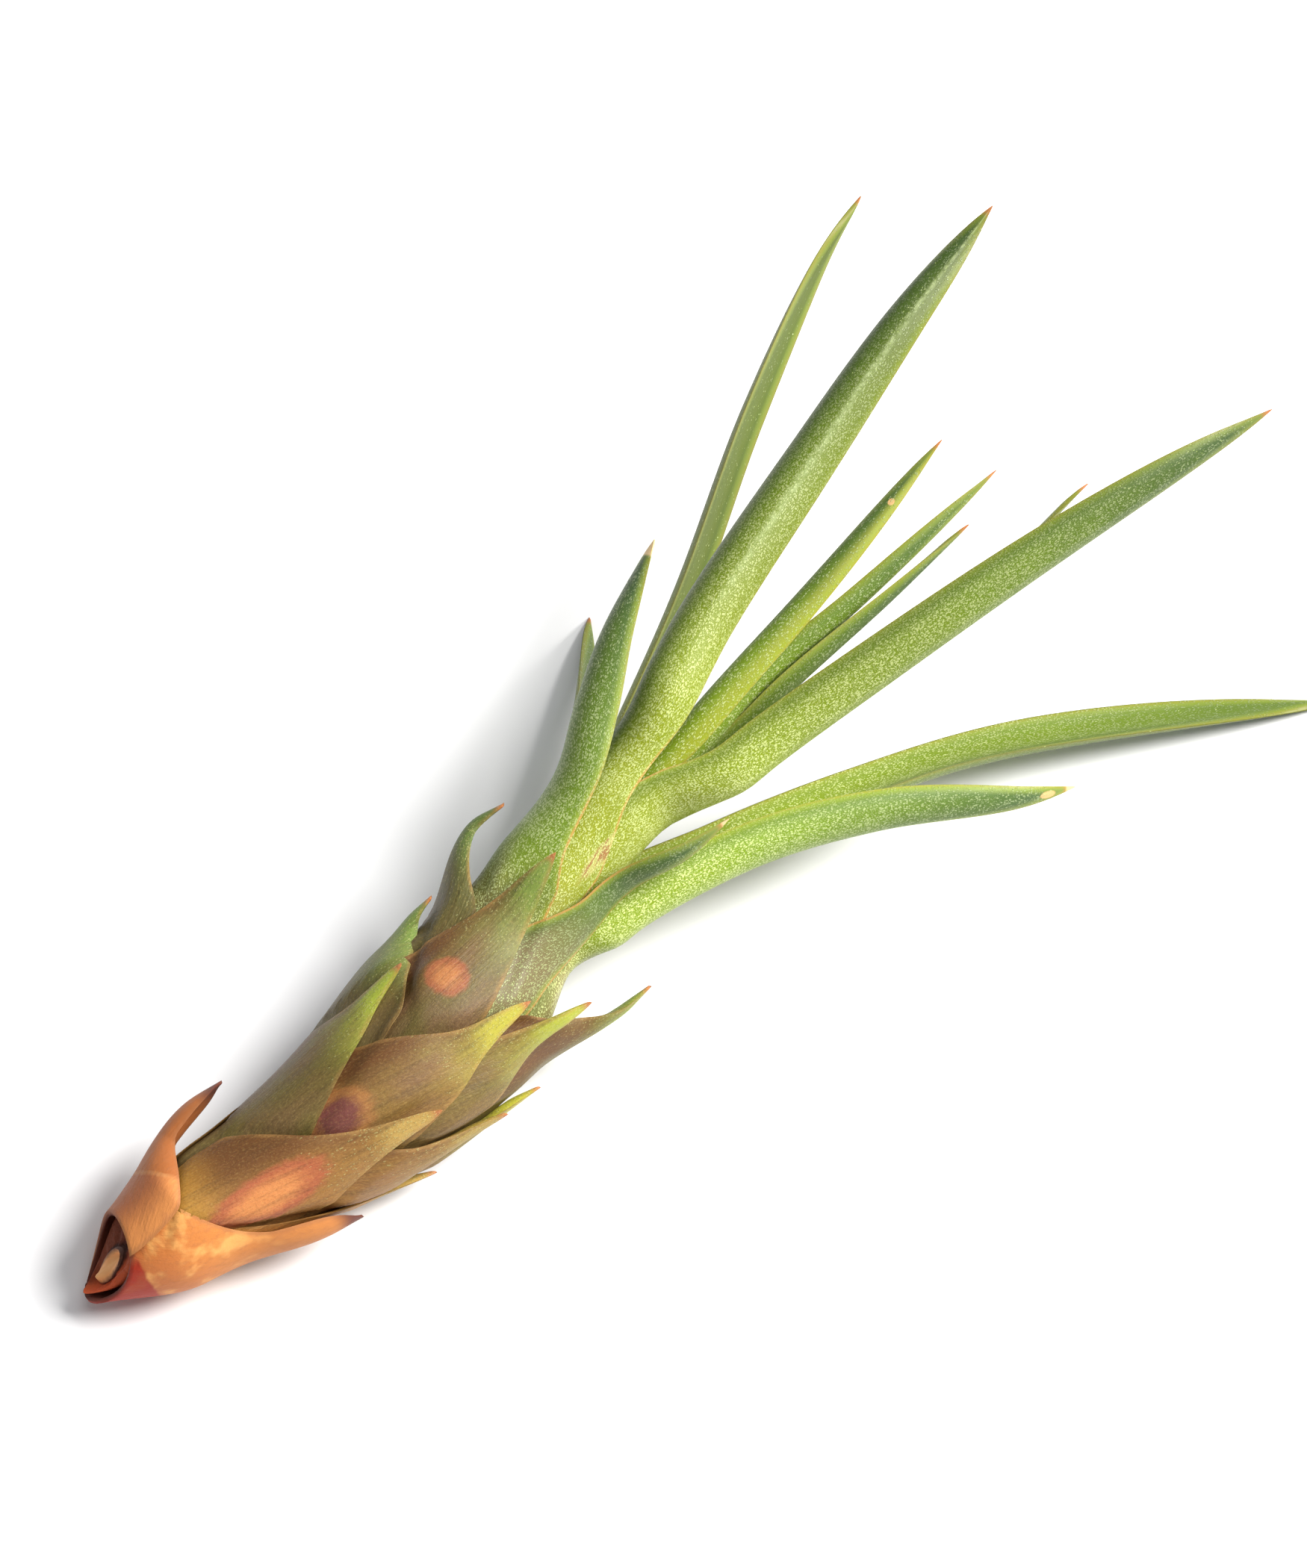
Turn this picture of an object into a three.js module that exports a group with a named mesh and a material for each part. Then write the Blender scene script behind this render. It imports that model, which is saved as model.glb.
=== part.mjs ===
// A melanocrater air plant, a small tillandsia, lying on its side as cut from its clump.
// Every leaf grows from one short stem: a clasping sheath on the bulb, then a free channelled blade.
// Millimetres and degrees, +Z up, the butt towards -X and the leaf tips towards +X. A station is a
// distance along the stem line from the butt, and an angle is turned round it from straight up, + to +Y.
import * as THREE from "three";

// Stem line: the middle of the bulb and neck, from the cut butt to the crown of leaves.
const STEM_LINE = [
  [-59.9, 3.7, 4.2],
  [-53.8, 1.9, 5.1],
  [-46, -0.2, 5.9],
  [-34.7, -2.2, 7.3],
  [-26.8, -1.9, 8.05],
  [-13.5, -0.6, 11.7],
  [-3.5, -0.6, 15],
  [8, -0.6, 19],
];
const STEM_TOP = 54; // station of the growing point
const STEM_RADIUS = 1.5;
const STUB_RADIUS = 0.9; // the stem at its cut end
const GROWING_RADIUS = 0.5; // the stem at its growing point
const STUB_SHARE = 0.12; // share of the stem over which it thickens from its cut end
const STEM_NARROWING = [0.6, 0.9]; // shares of the stem between which it narrows to its growing point
const STEM_SIDES = 16;
const STEM_RINGS = 12;

// Outline of the bulb: radius of the outermost sheaths.
const CUT_RADIUS = 1.7;
const BUTT_RADIUS = 4.9;
const BUTT_FLARE = [-4, 7]; // stations between which the butt widens from its cut end
const BELLY_RADIUS = 8.2;
const NECK_RADIUS = 5.3;
const BELLY_STATION = 34;
const BELLY_RISE = 15.5;
const BELLY_FALL = 7;

// The slanting cut through the butt: the station of its middle, how far its rim runs to each side of that
// on the dry scales and on the stem, and the side of the plant that it faces.
const CUT_STATION = 0.9;
const CUT_SPREAD = 2.9;
const STUB_SPREAD = 1.3;
const CUT_SIDE = 20;

// Sheaths: how thick they are, how they nest and how they spring from the stem.
const SHEATH_THICKNESS = 0.62;
const EDGE_THICKNESS = 0.6;
const SHEATH_GAP = 0.25; // clear space between two sheaths
const LAYER = SHEATH_THICKNESS + SHEATH_GAP;
const FIRST_BASE = 1.5; // station where the stem's lowest leaf would spring
const SCALE_SPACING = 1.9; // along the stem, from one scale's insertion to the next
const LEAF_SPACING = 1.4; // the same for the long leaves above them
const BASE_SLOPE = LAYER / LEAF_SPACING;
const WRAP = 62; // degrees that a sheath reaches round the stem to each side at most
const MARGIN_PAD = 12; // degrees beyond a leaf's margin where the leaf below is still pressed down
const MARGIN_FADE = 25; // degrees over which that leaf then swells back to the bulb's outline
const RELEASE = 5; // length over which that leaf rises again where the one above lifts off

// Blades.
const BLADE_THICKNESS = 0.9;
const POINT_LENGTH = 3; // length over which a leaf grows thin towards its tip
const POINT_THICKNESS = 0.6; // share of its thickness that it keeps there
const POINT_CHANNEL = 0.45; // share of its channel's radius that it keeps there
const LEAF_TAPER = 12; // a long blade narrows to its point over this scale of length
const SCALE_TAPER = 2;
const SCALE_BLADE = 0.95; // half the width of a scale's point, round its channel
const SCALE_CHANNEL = 1.6; // radius of that channel
const DEEPEST_CHANNEL = 1.4; // radians that a blade curls from its middle to its margin at most
const BLADE_LIFT = 0.37; // share of its channel's radius that a blade's back stands off the blade's line
const SHEATH_BLEND = 9; // length over which a long leaf's sheath turns into its blade
const BLEND_LEAD = 2; // distance before its free station where a leaf starts to leave the bulb
const TURN_LEAD = 10; // distance before its free station where a sheath starts to narrow and turn
const TURN_TAIL = 4; // distance beyond its free station where a long leaf has its blade's width
const LIFT_POWER = 1.5; // how a scale's lift off the bulb grows towards its tip

// Faces of a leaf: columns across it and rows along it, which draw together towards both its ends.
const COLUMNS = 10;
const THIN_COLUMNS = 6;
const SCALE_ROWS = 9;
const LEAF_ROWS = 20;
const SCALE_CROWDING = 0.1;
const LEAF_CROWDING = 0.5;

const GREEN = { color: 0x6f8f3a, roughness: 0.55, metalness: 0 };
const OLIVE = { color: 0x776a35, roughness: 0.5, metalness: 0 };
const DRY = { color: 0xc98a4a, roughness: 0.7, metalness: 0 };
const WOOD = { color: 0x7a3f22, roughness: 0.8, metalness: 0 };

// The short scales of the bulb, lowest and outermost first. The point leaves the bulb at station free, and
// its path is [station, angle, distance from the stem line], ending at the tip.
const SCALES = [
  {
    name: "scale_dry_left", angle: 66, free: 2,
    path: [[6.5, 72, 6.4], [9.5, 75, 7.6], [12.8, 76, 8.3], [16.5, 74, 8.4]],
    wrap: 96, blade: 3, radius: 2.4, shoulder: [4, 10], cut: true, rows: 12,
  },
  {
    name: "scale_dry_right", angle: -94, free: 9, path: [[13.8, -100, 6.7], [19.8, -103, 7.3]],
    wrap: 102, blade: 3, radius: 2.4, shoulder: [6, 13.5], cut: true, rows: 12,
  },
  { name: "scale_under_1", angle: 168, free: 16, path: [[23.3, 165, 6.8]] },
  { name: "scale_01", angle: -120, free: 19, path: [[26.2, -125, 8.2]] },
  { name: "scale_02", angle: -32, free: 20, path: [[27.8, -52, 8.6]] },
  { name: "scale_under_2", angle: 128, free: 22, path: [[30.8, 132, 8.4]] },
  { name: "scale_03", angle: -62, free: 24, path: [[31.9, -97, 8.9]] },
  { name: "scale_04", angle: 41, free: 27, path: [[35.3, 24, 8.5]] },
  { name: "scale_05", angle: -105, free: 27, path: [[35.4, -112, 9.4]] },
  { name: "scale_under_3", angle: -172, free: 36, path: [[43.3, 176, 8.4]], sheath: 9.2 },
  { name: "scale_06", angle: -18, free: 31, path: [[39.4, -48, 8.8]] },
  { name: "scale_07", angle: 68, free: 35, path: [[39, 65, 7.5], [42.2, 62, 7.3]], shoulder: [2, 16] },
  { name: "scale_08", angle: -42, free: 34, path: [[42.6, -78, 9.8]], shoulder: [1, 22] },
  { name: "scale_under_4", angle: 142, free: 37, path: [[46.3, 145, 8.4]] },
  {
    name: "scale_09", angle: -95, free: 33, path: [[37.2, -108, 9.4], [43.2, -111, 11], [47.9, -112, 11.6]],
    shoulder: [2, 16],
  },
  { name: "scale_under_5", angle: -162, free: 39, path: [[48.3, -160, 8.6]] },
  { name: "scale_10", angle: 0, free: 43, path: [[50.7, -9, 7.2]], shoulder: [4, 30] },
  {
    name: "scale_11", angle: 34, free: 40, path: [[44.5, 62, 7.5], [48, 67, 7.7], [51.3, 69, 7.2]],
    shoulder: [2, 20],
  },
];
const SCALE_SHEATH = 8.8; // half the width of a scale round the bulb
const SCALE_SHOULDER = [3, 26]; // distances from its tip between which it widens to that

// The long leaves, outermost first. A sheath lies at angle and turns to the angle turn, where its blade
// comes away, and is never further from the stem line than nest. The blade turns its back to the angle
// face. Its half width and channel radius are blade and radius, and its line is the middle of the blade,
// ending at the tip.
const LONG_LEAVES = [
  {
    name: "leaf_short_neck", angle: -38, turn: -74, face: -50, free: 50, sheath: 3.6, blade: 2.6, radius: 2.1,
    line: [[-7.5, -6.8, 15.5], [-3.3, -7.9, 16.5], [-0.3, -8.9, 17.5]],
  },
  {
    name: "leaf_broad_left", angle: 28, turn: 46, face: 40, free: 52, sheath: 7.4, blade: 3.6, radius: 2.8,
    line: [[-3.4, 4.3, 19], [3.7, 7.5, 22], [11.4, 10.9, 25]], wrap: 72,
  },
  {
    name: "leaf_arched_right", angle: -100, turn: -111, face: -60, free: 43,
    sheath: 7.7, blade: 3.3, radius: 2.5,
    line: [
      [-12, -6.3, 9.8], [-8.3, -6.9, 10.6], [2.3, -10.2, 11.2], [11.7, -15, 10.8], [21.4, -21.4, 9.2],
      [25.9, -24.3, 8.5],
    ],
  },
  {
    name: "leaf_low_left", angle: 125, turn: 123, face: 128, free: 46, sheath: 7, blade: 2.7, radius: 2.2,
    line: [[-6.5, 5.6, 9.5], [-1.4, 9, 7], [4.4, 13.6, 4.2], [12.8, 21.1, 0]],
  },
  {
    name: "leaf_low_right", angle: -142, turn: -142, face: -150, free: 48, sheath: 6.5, blade: 2.8, radius: 2.3,
    line: [[0.2, -6.3, 8.9], [12.2, -10.3, 7.5], [26.5, -15.9, 4.6], [52.2, -32.6, 0]],
  },
  {
    name: "leaf_big_upper", angle: 12, turn: 30, face: 8, free: 59, sheath: 7, blade: 3.4, radius: 2.5,
    line: [[1, 1.3, 21.2], [9.9, 3.3, 23.6], [24.7, 6.1, 27], [38.7, 8.3, 31], [51, 9.5, 34]],
    nest: 4.3, wrap: 72,
  },
  {
    name: "leaf_big_right", angle: -52, turn: -67, face: -52, free: 58, sheath: 5, blade: 3.3, radius: 2.4,
    line: [
      [-1.6, -4.9, 17.3], [6.3, -6.5, 19.8], [16.1, -9.5, 22.8], [30, -13.2, 26.8], [44, -16.9, 30],
      [53, -19.5, 31],
    ],
    nest: 3.35, taper: 20,
  },
  {
    name: "leaf_far_top", angle: 113, turn: 123, face: 113, free: 55, sheath: 4, blade: 2.3, radius: 1.8,
    line: [[2, 4.6, 13.2], [14.9, 10.4, 12.6], [32.4, 19.9, 11.5], [48.7, 26.5, 11.5], [57, 29.1, 12]],
    nest: 3.6, columns: THIN_COLUMNS,
  },
  {
    name: "leaf_behind_right", angle: -112, turn: -130, face: -110, free: 58, sheath: 3, blade: 2.2, radius: 1.9,
    line: [[1, -3.6, 13.8], [10.1, -5.3, 15], [29.4, -8.5, 18], [43, -9.4, 20.3]],
    nest: 2.7, columns: THIN_COLUMNS,
  },
  {
    name: "leaf_thin_upper", angle: -10, turn: -22, face: 10, free: 58, sheath: 1.3, blade: 1.9, radius: 1.5,
    line: [[5.9, -0.9, 20], [17, -1.1, 23], [33.6, -0.7, 28]],
    nest: 2.4, columns: THIN_COLUMNS,
  },
  {
    name: "leaf_thin_lower", angle: -125, turn: -122, face: -100, free: 58, sheath: 0.9, blade: 1.5, radius: 1.2,
    line: [[4.9, -3.2, 15.9], [11.5, -3.9, 19], [22.2, -5.3, 21.5], [31, -6.3, 24]],
    nest: 1.8, columns: THIN_COLUMNS,
  },
  {
    name: "leaf_thin_middle", angle: -70, turn: -70, face: -50, free: 58, sheath: 0.9, blade: 1.4, radius: 1.2,
    line: [[9.5, -2.3, 19.5], [19.9, -3.8, 22.5], [35, -5.6, 27]],
    nest: 2.7, columns: THIN_COLUMNS,
  },
  {
    name: "leaf_youngest", angle: 100, turn: 100, face: 60, free: 58, sheath: 0.8, blade: 0.9, radius: 0.9,
    line: [[13.9, -1.5, 20.5], [19.2, -1.9, 22]],
    nest: 2, columns: THIN_COLUMNS,
  },
];

const STEM = new THREE.CatmullRomCurve3(STEM_LINE.map((p) => new THREE.Vector3(...p)));
const STEM_LENGTH = STEM.getLength();
const UP = new THREE.Vector3(0, 0, 1);
const { lerp: mix, smoothstep: step, degToRad: radians, radToDeg: degrees } = THREE.MathUtils;

// Every leaf with its place in the growing order, the station of its insertion and, for a scale, that of its
// tip, or for a long leaf that of its free blade.
const SHARED = { wrap: WRAP, nest: Infinity, columns: COLUMNS };
const SCALE = {
  ...SHARED, sheath: SCALE_SHEATH, blade: SCALE_BLADE, radius: SCALE_CHANNEL, shoulder: SCALE_SHOULDER,
  taper: SCALE_TAPER, rows: SCALE_ROWS, crowding: SCALE_CROWDING,
};
const LONG_LEAF = { ...SHARED, taper: LEAF_TAPER, rows: LEAF_ROWS, crowding: LEAF_CROWDING };
const FIRST_LEAF_BASE = FIRST_BASE + SCALES.length * SCALE_SPACING;
const LEAVES = [
  ...SCALES.map((scale, rank) => {
    const base = scale.cut ? CUT_STATION : FIRST_BASE + rank * SCALE_SPACING;
    return { ...SCALE, ...scale, rank, base, end: scale.path.at(-1)[0] };
  }),
  ...LONG_LEAVES.map((leaf, index) => {
    const base = FIRST_LEAF_BASE + index * LEAF_SPACING;
    return { ...LONG_LEAF, ...leaf, rank: SCALES.length + index, base, end: leaf.free + SHEATH_BLEND };
  }),
];

// The same angle between -180 and 180 degrees.
function wrapped(angle) {
  return THREE.MathUtils.euclideanModulo(angle + 180, 360) - 180;
}

function bulbRadius(station) {
  const rising = station < BELLY_STATION;
  const end = rising ? BUTT_RADIUS : NECK_RADIUS;
  const reach = (station - BELLY_STATION) / (rising ? BELLY_RISE : BELLY_FALL);
  const radius = end + (BELLY_RADIUS - end) * Math.exp(-reach * reach);
  return mix(CUT_RADIUS, radius, step(station, ...BUTT_FLARE));
}

// Station of the slanting cut on one side of the plant.
function cutStation(angle, spread) {
  return CUT_STATION + spread * Math.cos(radians(angle - CUT_SIDE));
}

// Point on the stem line with its forward, upward and sideways directions.
function stemFrame(station) {
  const share = THREE.MathUtils.clamp(station / STEM_LENGTH, 0, 1);
  const forward = STEM.getTangentAt(share);
  const point = STEM.getPointAt(share).addScaledVector(forward, station - share * STEM_LENGTH);
  const up = UP.clone().addScaledVector(forward, -forward.z).normalize();
  const side = new THREE.Vector3().crossVectors(up, forward);
  return { point, up, side };
}

function outward(frame, angle) {
  const turn = radians(angle);
  return frame.up.clone().multiplyScalar(Math.cos(turn)).addScaledVector(frame.side, Math.sin(turn));
}

function roundTheStem(station, angle, distance) {
  const frame = stemFrame(station);
  return frame.point.addScaledVector(outward(frame, angle), distance);
}

// Half the width of a leaf round its arc. A scale widens from its tip over its shoulder, and a long leaf
// narrows from its sheath to its blade where it comes free.
function halfWidth(leaf, station, left) {
  const narrowing = step(station, leaf.free - TURN_LEAD, leaf.free + TURN_TAIL);
  const open = leaf.path ? step(leaf.end - station, ...leaf.shoulder) : 1 - narrowing;
  const blade = leaf.blade * (1 - Math.exp(-left / leaf.taper));
  return Math.min(blade + (leaf.sheath - leaf.blade) * open, radians(leaf.wrap) * bulbRadius(station));
}

// The angle of a leaf's middle round the stem, which turns from its sheath to its tip or blade.
function middleAngle(leaf, station) {
  const turn = wrapped((leaf.path ? leaf.path.at(-1)[1] : leaf.turn) - leaf.angle);
  return leaf.angle + turn * step(station, leaf.free - TURN_LEAD, leaf.path ? leaf.end : leaf.free);
}

// 1 where this leaf lies over the leaves inside it, fading to 0 beyond its margins and where it lifts off.
function cover(leaf, angle, station) {
  const left = leaf.path ? Math.max(leaf.end - station, 0) : Infinity;
  const half = degrees(halfWidth(leaf, station, left) / bulbRadius(station));
  const away = Math.abs(wrapped(angle - middleAngle(leaf, station)));
  const across = 1 - step(away, half + MARGIN_PAD, half + MARGIN_PAD + MARGIN_FADE);
  const lift = leaf.path ? leaf.path.at(-1)[2] - bulbRadius(leaf.end) : 2 * LAYER;
  const lifted = mix(leaf.free, leaf.end, (LAYER / Math.max(lift, LAYER)) ** (1 / LIFT_POWER));
  return across * (1 - step(station, lifted, lifted + RELEASE));
}

// Thickness of the leaves that lie over this one at one place.
function buried(leaf, angle, station) {
  return LAYER * LEAVES.slice(0, leaf.rank).reduce((sum, other) => sum + cover(other, angle, station), 0);
}

function sheathRadius(leaf, angle, station) {
  const springing = leaf.cut ? Infinity : STEM_RADIUS + LAYER + BASE_SLOPE * (station - leaf.base);
  return Math.min(bulbRadius(station) - buried(leaf, angle, station), springing, leaf.nest);
}

// Outer middle line of a leaf, from its insertion to its tip.
function middleLine(leaf) {
  const points = [leaf.base, mix(leaf.base, leaf.free, 0.5), leaf.free].map((station) => {
    const angle = middleAngle(leaf, station);
    return roundTheStem(station, angle, sheathRadius(leaf, angle, station));
  });
  if (leaf.path) {
    return new THREE.CatmullRomCurve3([...points, ...leaf.path.map((place) => roundTheStem(...place))]);
  }
  const lift = outward(stemFrame(leaf.end), leaf.face).multiplyScalar(BLADE_LIFT * leaf.radius);
  const blade = leaf.line.map((p) => new THREE.Vector3(...p));
  blade.slice(0, -1).forEach((p) => p.add(lift));
  return new THREE.CatmullRomCurve3([...points, ...blade]);
}

// The outer and inner point of a leaf at one place across it, from -1 to 1, and along it, from 0 to 1. What
// would reach below the surface that the plant lies on is pressed flat on it.
function leafPoints(leaf, line, share, across) {
  const length = line.getLength();
  const left = length * (1 - share);
  const plain = leaf.path ? mix(leaf.base, leaf.end, share) : leaf.base + length * share;
  const half = halfWidth(leaf, plain, left);
  const middle = middleAngle(leaf, plain);
  const angle = middle + degrees((across * half) / bulbRadius(plain));
  const station = leaf.cut ? mix(cutStation(angle, CUT_SPREAD), leaf.end, share) : plain;
  const freed = step(station, leaf.free - BLEND_LEAD, leaf.end - (leaf.path ? BLEND_LEAD : 0));
  const frame = stemFrame(station);
  const sheathOut = outward(frame, angle);
  const sheath = frame.point.clone().addScaledVector(sheathOut, sheathRadius(leaf, angle, station));

  const forward = line.getTangentAt(share);
  const back = outward(frame, leaf.path ? middle : leaf.face);
  back.addScaledVector(forward, -back.dot(forward)).normalize();
  const side = new THREE.Vector3().crossVectors(back, forward);
  const full = Math.min(half / leaf.blade, 1);
  const channel = Math.max(leaf.radius * mix(POINT_CHANNEL, 1, full), half / DEEPEST_CHANNEL);
  const turn = (across * half) / channel;
  const bladeOut = back.clone().multiplyScalar(Math.cos(turn)).addScaledVector(side, Math.sin(turn));
  const blade = line.getPointAt(share).addScaledVector(back, -channel).addScaledVector(bladeOut, channel);

  const outer = sheath.lerp(blade, freed);
  const normal = sheathOut.lerp(bladeOut, freed).normalize();
  const body = mix(SHEATH_THICKNESS, BLADE_THICKNESS, freed * full);
  const pointed = mix(POINT_THICKNESS, 1, step(left, 0, POINT_LENGTH));
  const thickness = mix(body, EDGE_THICKNESS, across * across) * pointed;
  const floor = buried(leaf, angle, station) * (1 - freed);
  outer.z = Math.max(outer.z, floor);
  const inner = outer.clone().addScaledVector(normal, -thickness);
  inner.z = Math.max(inner.z, floor);
  return { outer, inner };
}

// One closed leaf: rings of outer and inner points from the base to the pointed tip, with the faces of
// both sides split alike.
function leafGeometry(leaf) {
  const line = middleLine(leaf);
  const { columns, rows } = leaf;
  const ring = 2 * (columns + 1);
  const points = [];
  for (let row = 0; row < rows; row++) {
    const share = row / rows - (leaf.crowding * Math.sin((2 * Math.PI * row) / rows)) / (2 * Math.PI);
    const pairs = [];
    for (let column = 0; column <= columns; column++) {
      pairs.push(leafPoints(leaf, line, share, (2 * column) / columns - 1));
    }
    points.push(...pairs.map((pair) => pair.outer), ...pairs.map((pair) => pair.inner).reverse());
  }
  points.push(line.getPointAt(1));
  const faces = [];
  for (let row = 0; row < rows - 1; row++) {
    for (let i = 0; i < ring; i++) {
      const [a, b] = [row * ring + i, row * ring + ((i + 1) % ring)];
      const [c, d] = [b + ring, a + ring];
      if (i < columns) faces.push(a, c, b, a, d, c);
      else faces.push(a, d, b, b, d, c);
    }
  }
  for (let column = 0; column < columns; column++) {
    const [a, b] = [column, column + 1];
    faces.push(a, b, ring - 1 - a, b, ring - 1 - b, ring - 1 - a);
  }
  const last = (rows - 1) * ring;
  for (let i = 0; i < ring; i++) faces.push(last + i, points.length - 1, last + ((i + 1) % ring));
  return new THREE.BufferGeometry().setFromPoints(points).setIndex(faces);
}

// The stem: a rod along the stem line, cut off at the butt, that narrows to its growing point.
function stemGeometry() {
  const points = [];
  for (let row = 0; row <= STEM_RINGS; row++) {
    const share = row / STEM_RINGS;
    const full = mix(STUB_RADIUS, STEM_RADIUS, step(share, 0, STUB_SHARE));
    const radius = mix(full, GROWING_RADIUS, step(share, ...STEM_NARROWING));
    for (let i = 0; i < STEM_SIDES; i++) {
      const angle = (360 * i) / STEM_SIDES;
      points.push(roundTheStem(mix(cutStation(angle, STUB_SPREAD), STEM_TOP, share), angle, radius));
    }
  }
  points.push(stemFrame(CUT_STATION).point, stemFrame(STEM_TOP).point);
  const [butt, top] = [points.length - 2, points.length - 1];
  const faces = [];
  for (let i = 0; i < STEM_SIDES; i++) {
    const next = (i + 1) % STEM_SIDES;
    for (let row = 0; row < STEM_RINGS; row++) {
      const [low, high] = [row * STEM_SIDES, (row + 1) * STEM_SIDES];
      faces.push(low + i, high + next, low + next, low + i, high + i, high + next);
    }
    const last = STEM_RINGS * STEM_SIDES;
    faces.push(butt, i, next, top, last + next, last + i);
  }
  return new THREE.BufferGeometry().setFromPoints(points).setIndex(faces);
}

function finishOf(leaf) {
  if (leaf.cut) return DRY;
  return leaf.path ? OLIVE : GREEN;
}

function piece(name, geometry, finish) {
  const mesh = new THREE.Mesh(geometry, new THREE.MeshStandardMaterial(finish));
  mesh.name = name;
  return mesh;
}

const plant = new THREE.Group();
plant.add(piece("stem", stemGeometry(), WOOD));
LEAVES.forEach((leaf) => plant.add(piece(leaf.name, leafGeometry(leaf), finishOf(leaf))));

// The origin lies on the surface, under the middle of the plant.
const box = new THREE.Box3().setFromObject(plant);
const middle = box.getCenter(new THREE.Vector3());
plant.position.set(-middle.x, -middle.y, -box.min.z);

export default plant;
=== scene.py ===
# %% [markdown]
# # An air plant, dressed leaf by leaf
# The fixed model holds a stem and thirty-one leaves as plain, faceted solids. This lesson gives each leaf a
# finer mesh of the same form, its silver leaf scales, and the colours of a plant that lay in bright light.

import math

import bpy
import numpy as np
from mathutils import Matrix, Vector


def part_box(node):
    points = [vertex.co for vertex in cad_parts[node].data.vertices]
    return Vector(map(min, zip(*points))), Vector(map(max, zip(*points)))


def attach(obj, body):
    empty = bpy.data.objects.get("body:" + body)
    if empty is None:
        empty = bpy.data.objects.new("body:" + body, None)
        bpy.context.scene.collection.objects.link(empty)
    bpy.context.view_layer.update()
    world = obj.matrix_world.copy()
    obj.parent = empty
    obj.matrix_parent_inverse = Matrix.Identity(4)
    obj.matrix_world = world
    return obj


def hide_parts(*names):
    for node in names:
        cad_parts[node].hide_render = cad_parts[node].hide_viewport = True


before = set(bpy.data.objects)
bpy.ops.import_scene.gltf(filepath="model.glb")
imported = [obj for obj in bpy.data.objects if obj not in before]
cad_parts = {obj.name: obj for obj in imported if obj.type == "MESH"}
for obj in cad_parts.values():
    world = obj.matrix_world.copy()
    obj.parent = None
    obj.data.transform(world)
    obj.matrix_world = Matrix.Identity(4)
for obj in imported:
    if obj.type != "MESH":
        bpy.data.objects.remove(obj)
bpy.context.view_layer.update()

# %% [markdown]
# ## The stem line
# Every leaf of the plant wraps round one short stem. The stem is hidden but for its cut end, yet its middle
# line places everything: a station is a distance along it from the butt, and an angle is turned round it
# from straight up. The line is a centripetal curve, because that kind passes its points without loops.

# %% Small mathematics
def mix(low, high, share):
    return low + (high - low) * share


def step(value, low, high):
    share = np.clip((value - low) / (high - low), 0, 1)
    return share * share * (3 - 2 * share)


def wrapped(angle):
    return (angle + 180) % 360 - 180


def unit(vectors):
    return vectors / np.linalg.norm(vectors, axis=-1, keepdims=True)


class Line:
    """A smooth curve through points, measured along its length."""

    def __init__(self, points):
        given = np.asarray(points, float)
        given = np.vstack([2 * given[0] - given[1], given, 2 * given[-1] - given[-2]])
        share = np.linspace(0, 1, 60)[:, None]
        spans = []
        for a, b, c, d in zip(given, given[1:], given[2:], given[3:]):
            before, here, after = (math.sqrt(np.linalg.norm(v - u)) for u, v in ((a, b), (b, c), (c, d)))
            leave = ((b - a) / before - (c - a) / (before + here) + (c - b) / here) * here
            arrive = ((c - b) / here - (d - b) / (here + after) + (d - c) / after) * here
            bend = 3 * (c - b) - 2 * leave - arrive
            twist = 2 * (b - c) + leave + arrive
            spans.append(b + leave * share + bend * share**2 + twist * share**3)
        dense = np.vstack(spans)
        keep = np.r_[True, np.linalg.norm(np.diff(dense, axis=0), axis=1) > 1e-6]
        self.points = dense[keep]
        self.reach = np.r_[0, np.cumsum(np.linalg.norm(np.diff(self.points, axis=0), axis=1))]
        self.length = self.reach[-1]
        self.tangents = unit(np.gradient(self.points, self.reach, axis=0))

    def at(self, reach):
        place = [np.interp(reach, self.reach, self.points[:, axis]) for axis in range(3)]
        tangent = [np.interp(reach, self.reach, self.tangents[:, axis]) for axis in range(3)]
        return np.stack(place, -1), unit(np.stack(tangent, -1))


# %% The stem's frame
MM = 0.001
STEM = Line([
    (-59.9, 3.7, 4.2), (-53.8, 1.9, 5.1), (-46, -0.2, 5.9), (-34.7, -2.2, 7.3), (-26.8, -1.9, 8.05),
    (-13.5, -0.6, 11.7), (-3.5, -0.6, 15), (8, -0.6, 19),
])
UP = np.array([0.0, 0.0, 1.0])


def stem_frame(station):
    station = np.asarray(station, float)
    along = np.clip(station, 0, STEM.length)
    point, forward = STEM.at(along)
    point = point + forward * (station - along)[..., None]
    up = unit(UP - forward * forward[..., 2:])
    return point, up, np.cross(up, forward)


def outward(station, angle):
    point, up, side = stem_frame(station)
    turn = np.radians(angle)[..., None] if np.ndim(angle) else math.radians(angle)
    return up * np.cos(turn) + side * np.sin(turn)


def round_the_stem(station, angle, distance):
    return stem_frame(station)[0] + outward(station, angle) * np.asarray(distance)[..., None]


print("stem line:", round(STEM.length, 1), "mm")

# %% [markdown]
# ## Where each leaf lies
# The scales of the bulb are the lowest leaves, short and broad. Their points stand off the bulb along a path
# of station, angle and distance. The long leaves turn from a clasping sheath into a channelled blade. Both
# lists hold the kinds of size that the solid model has, in millimetres and degrees, outermost leaf first. The
# sheaths are thinner and closer than the solids', as a real plant's are, so some sizes differ a little.

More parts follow.
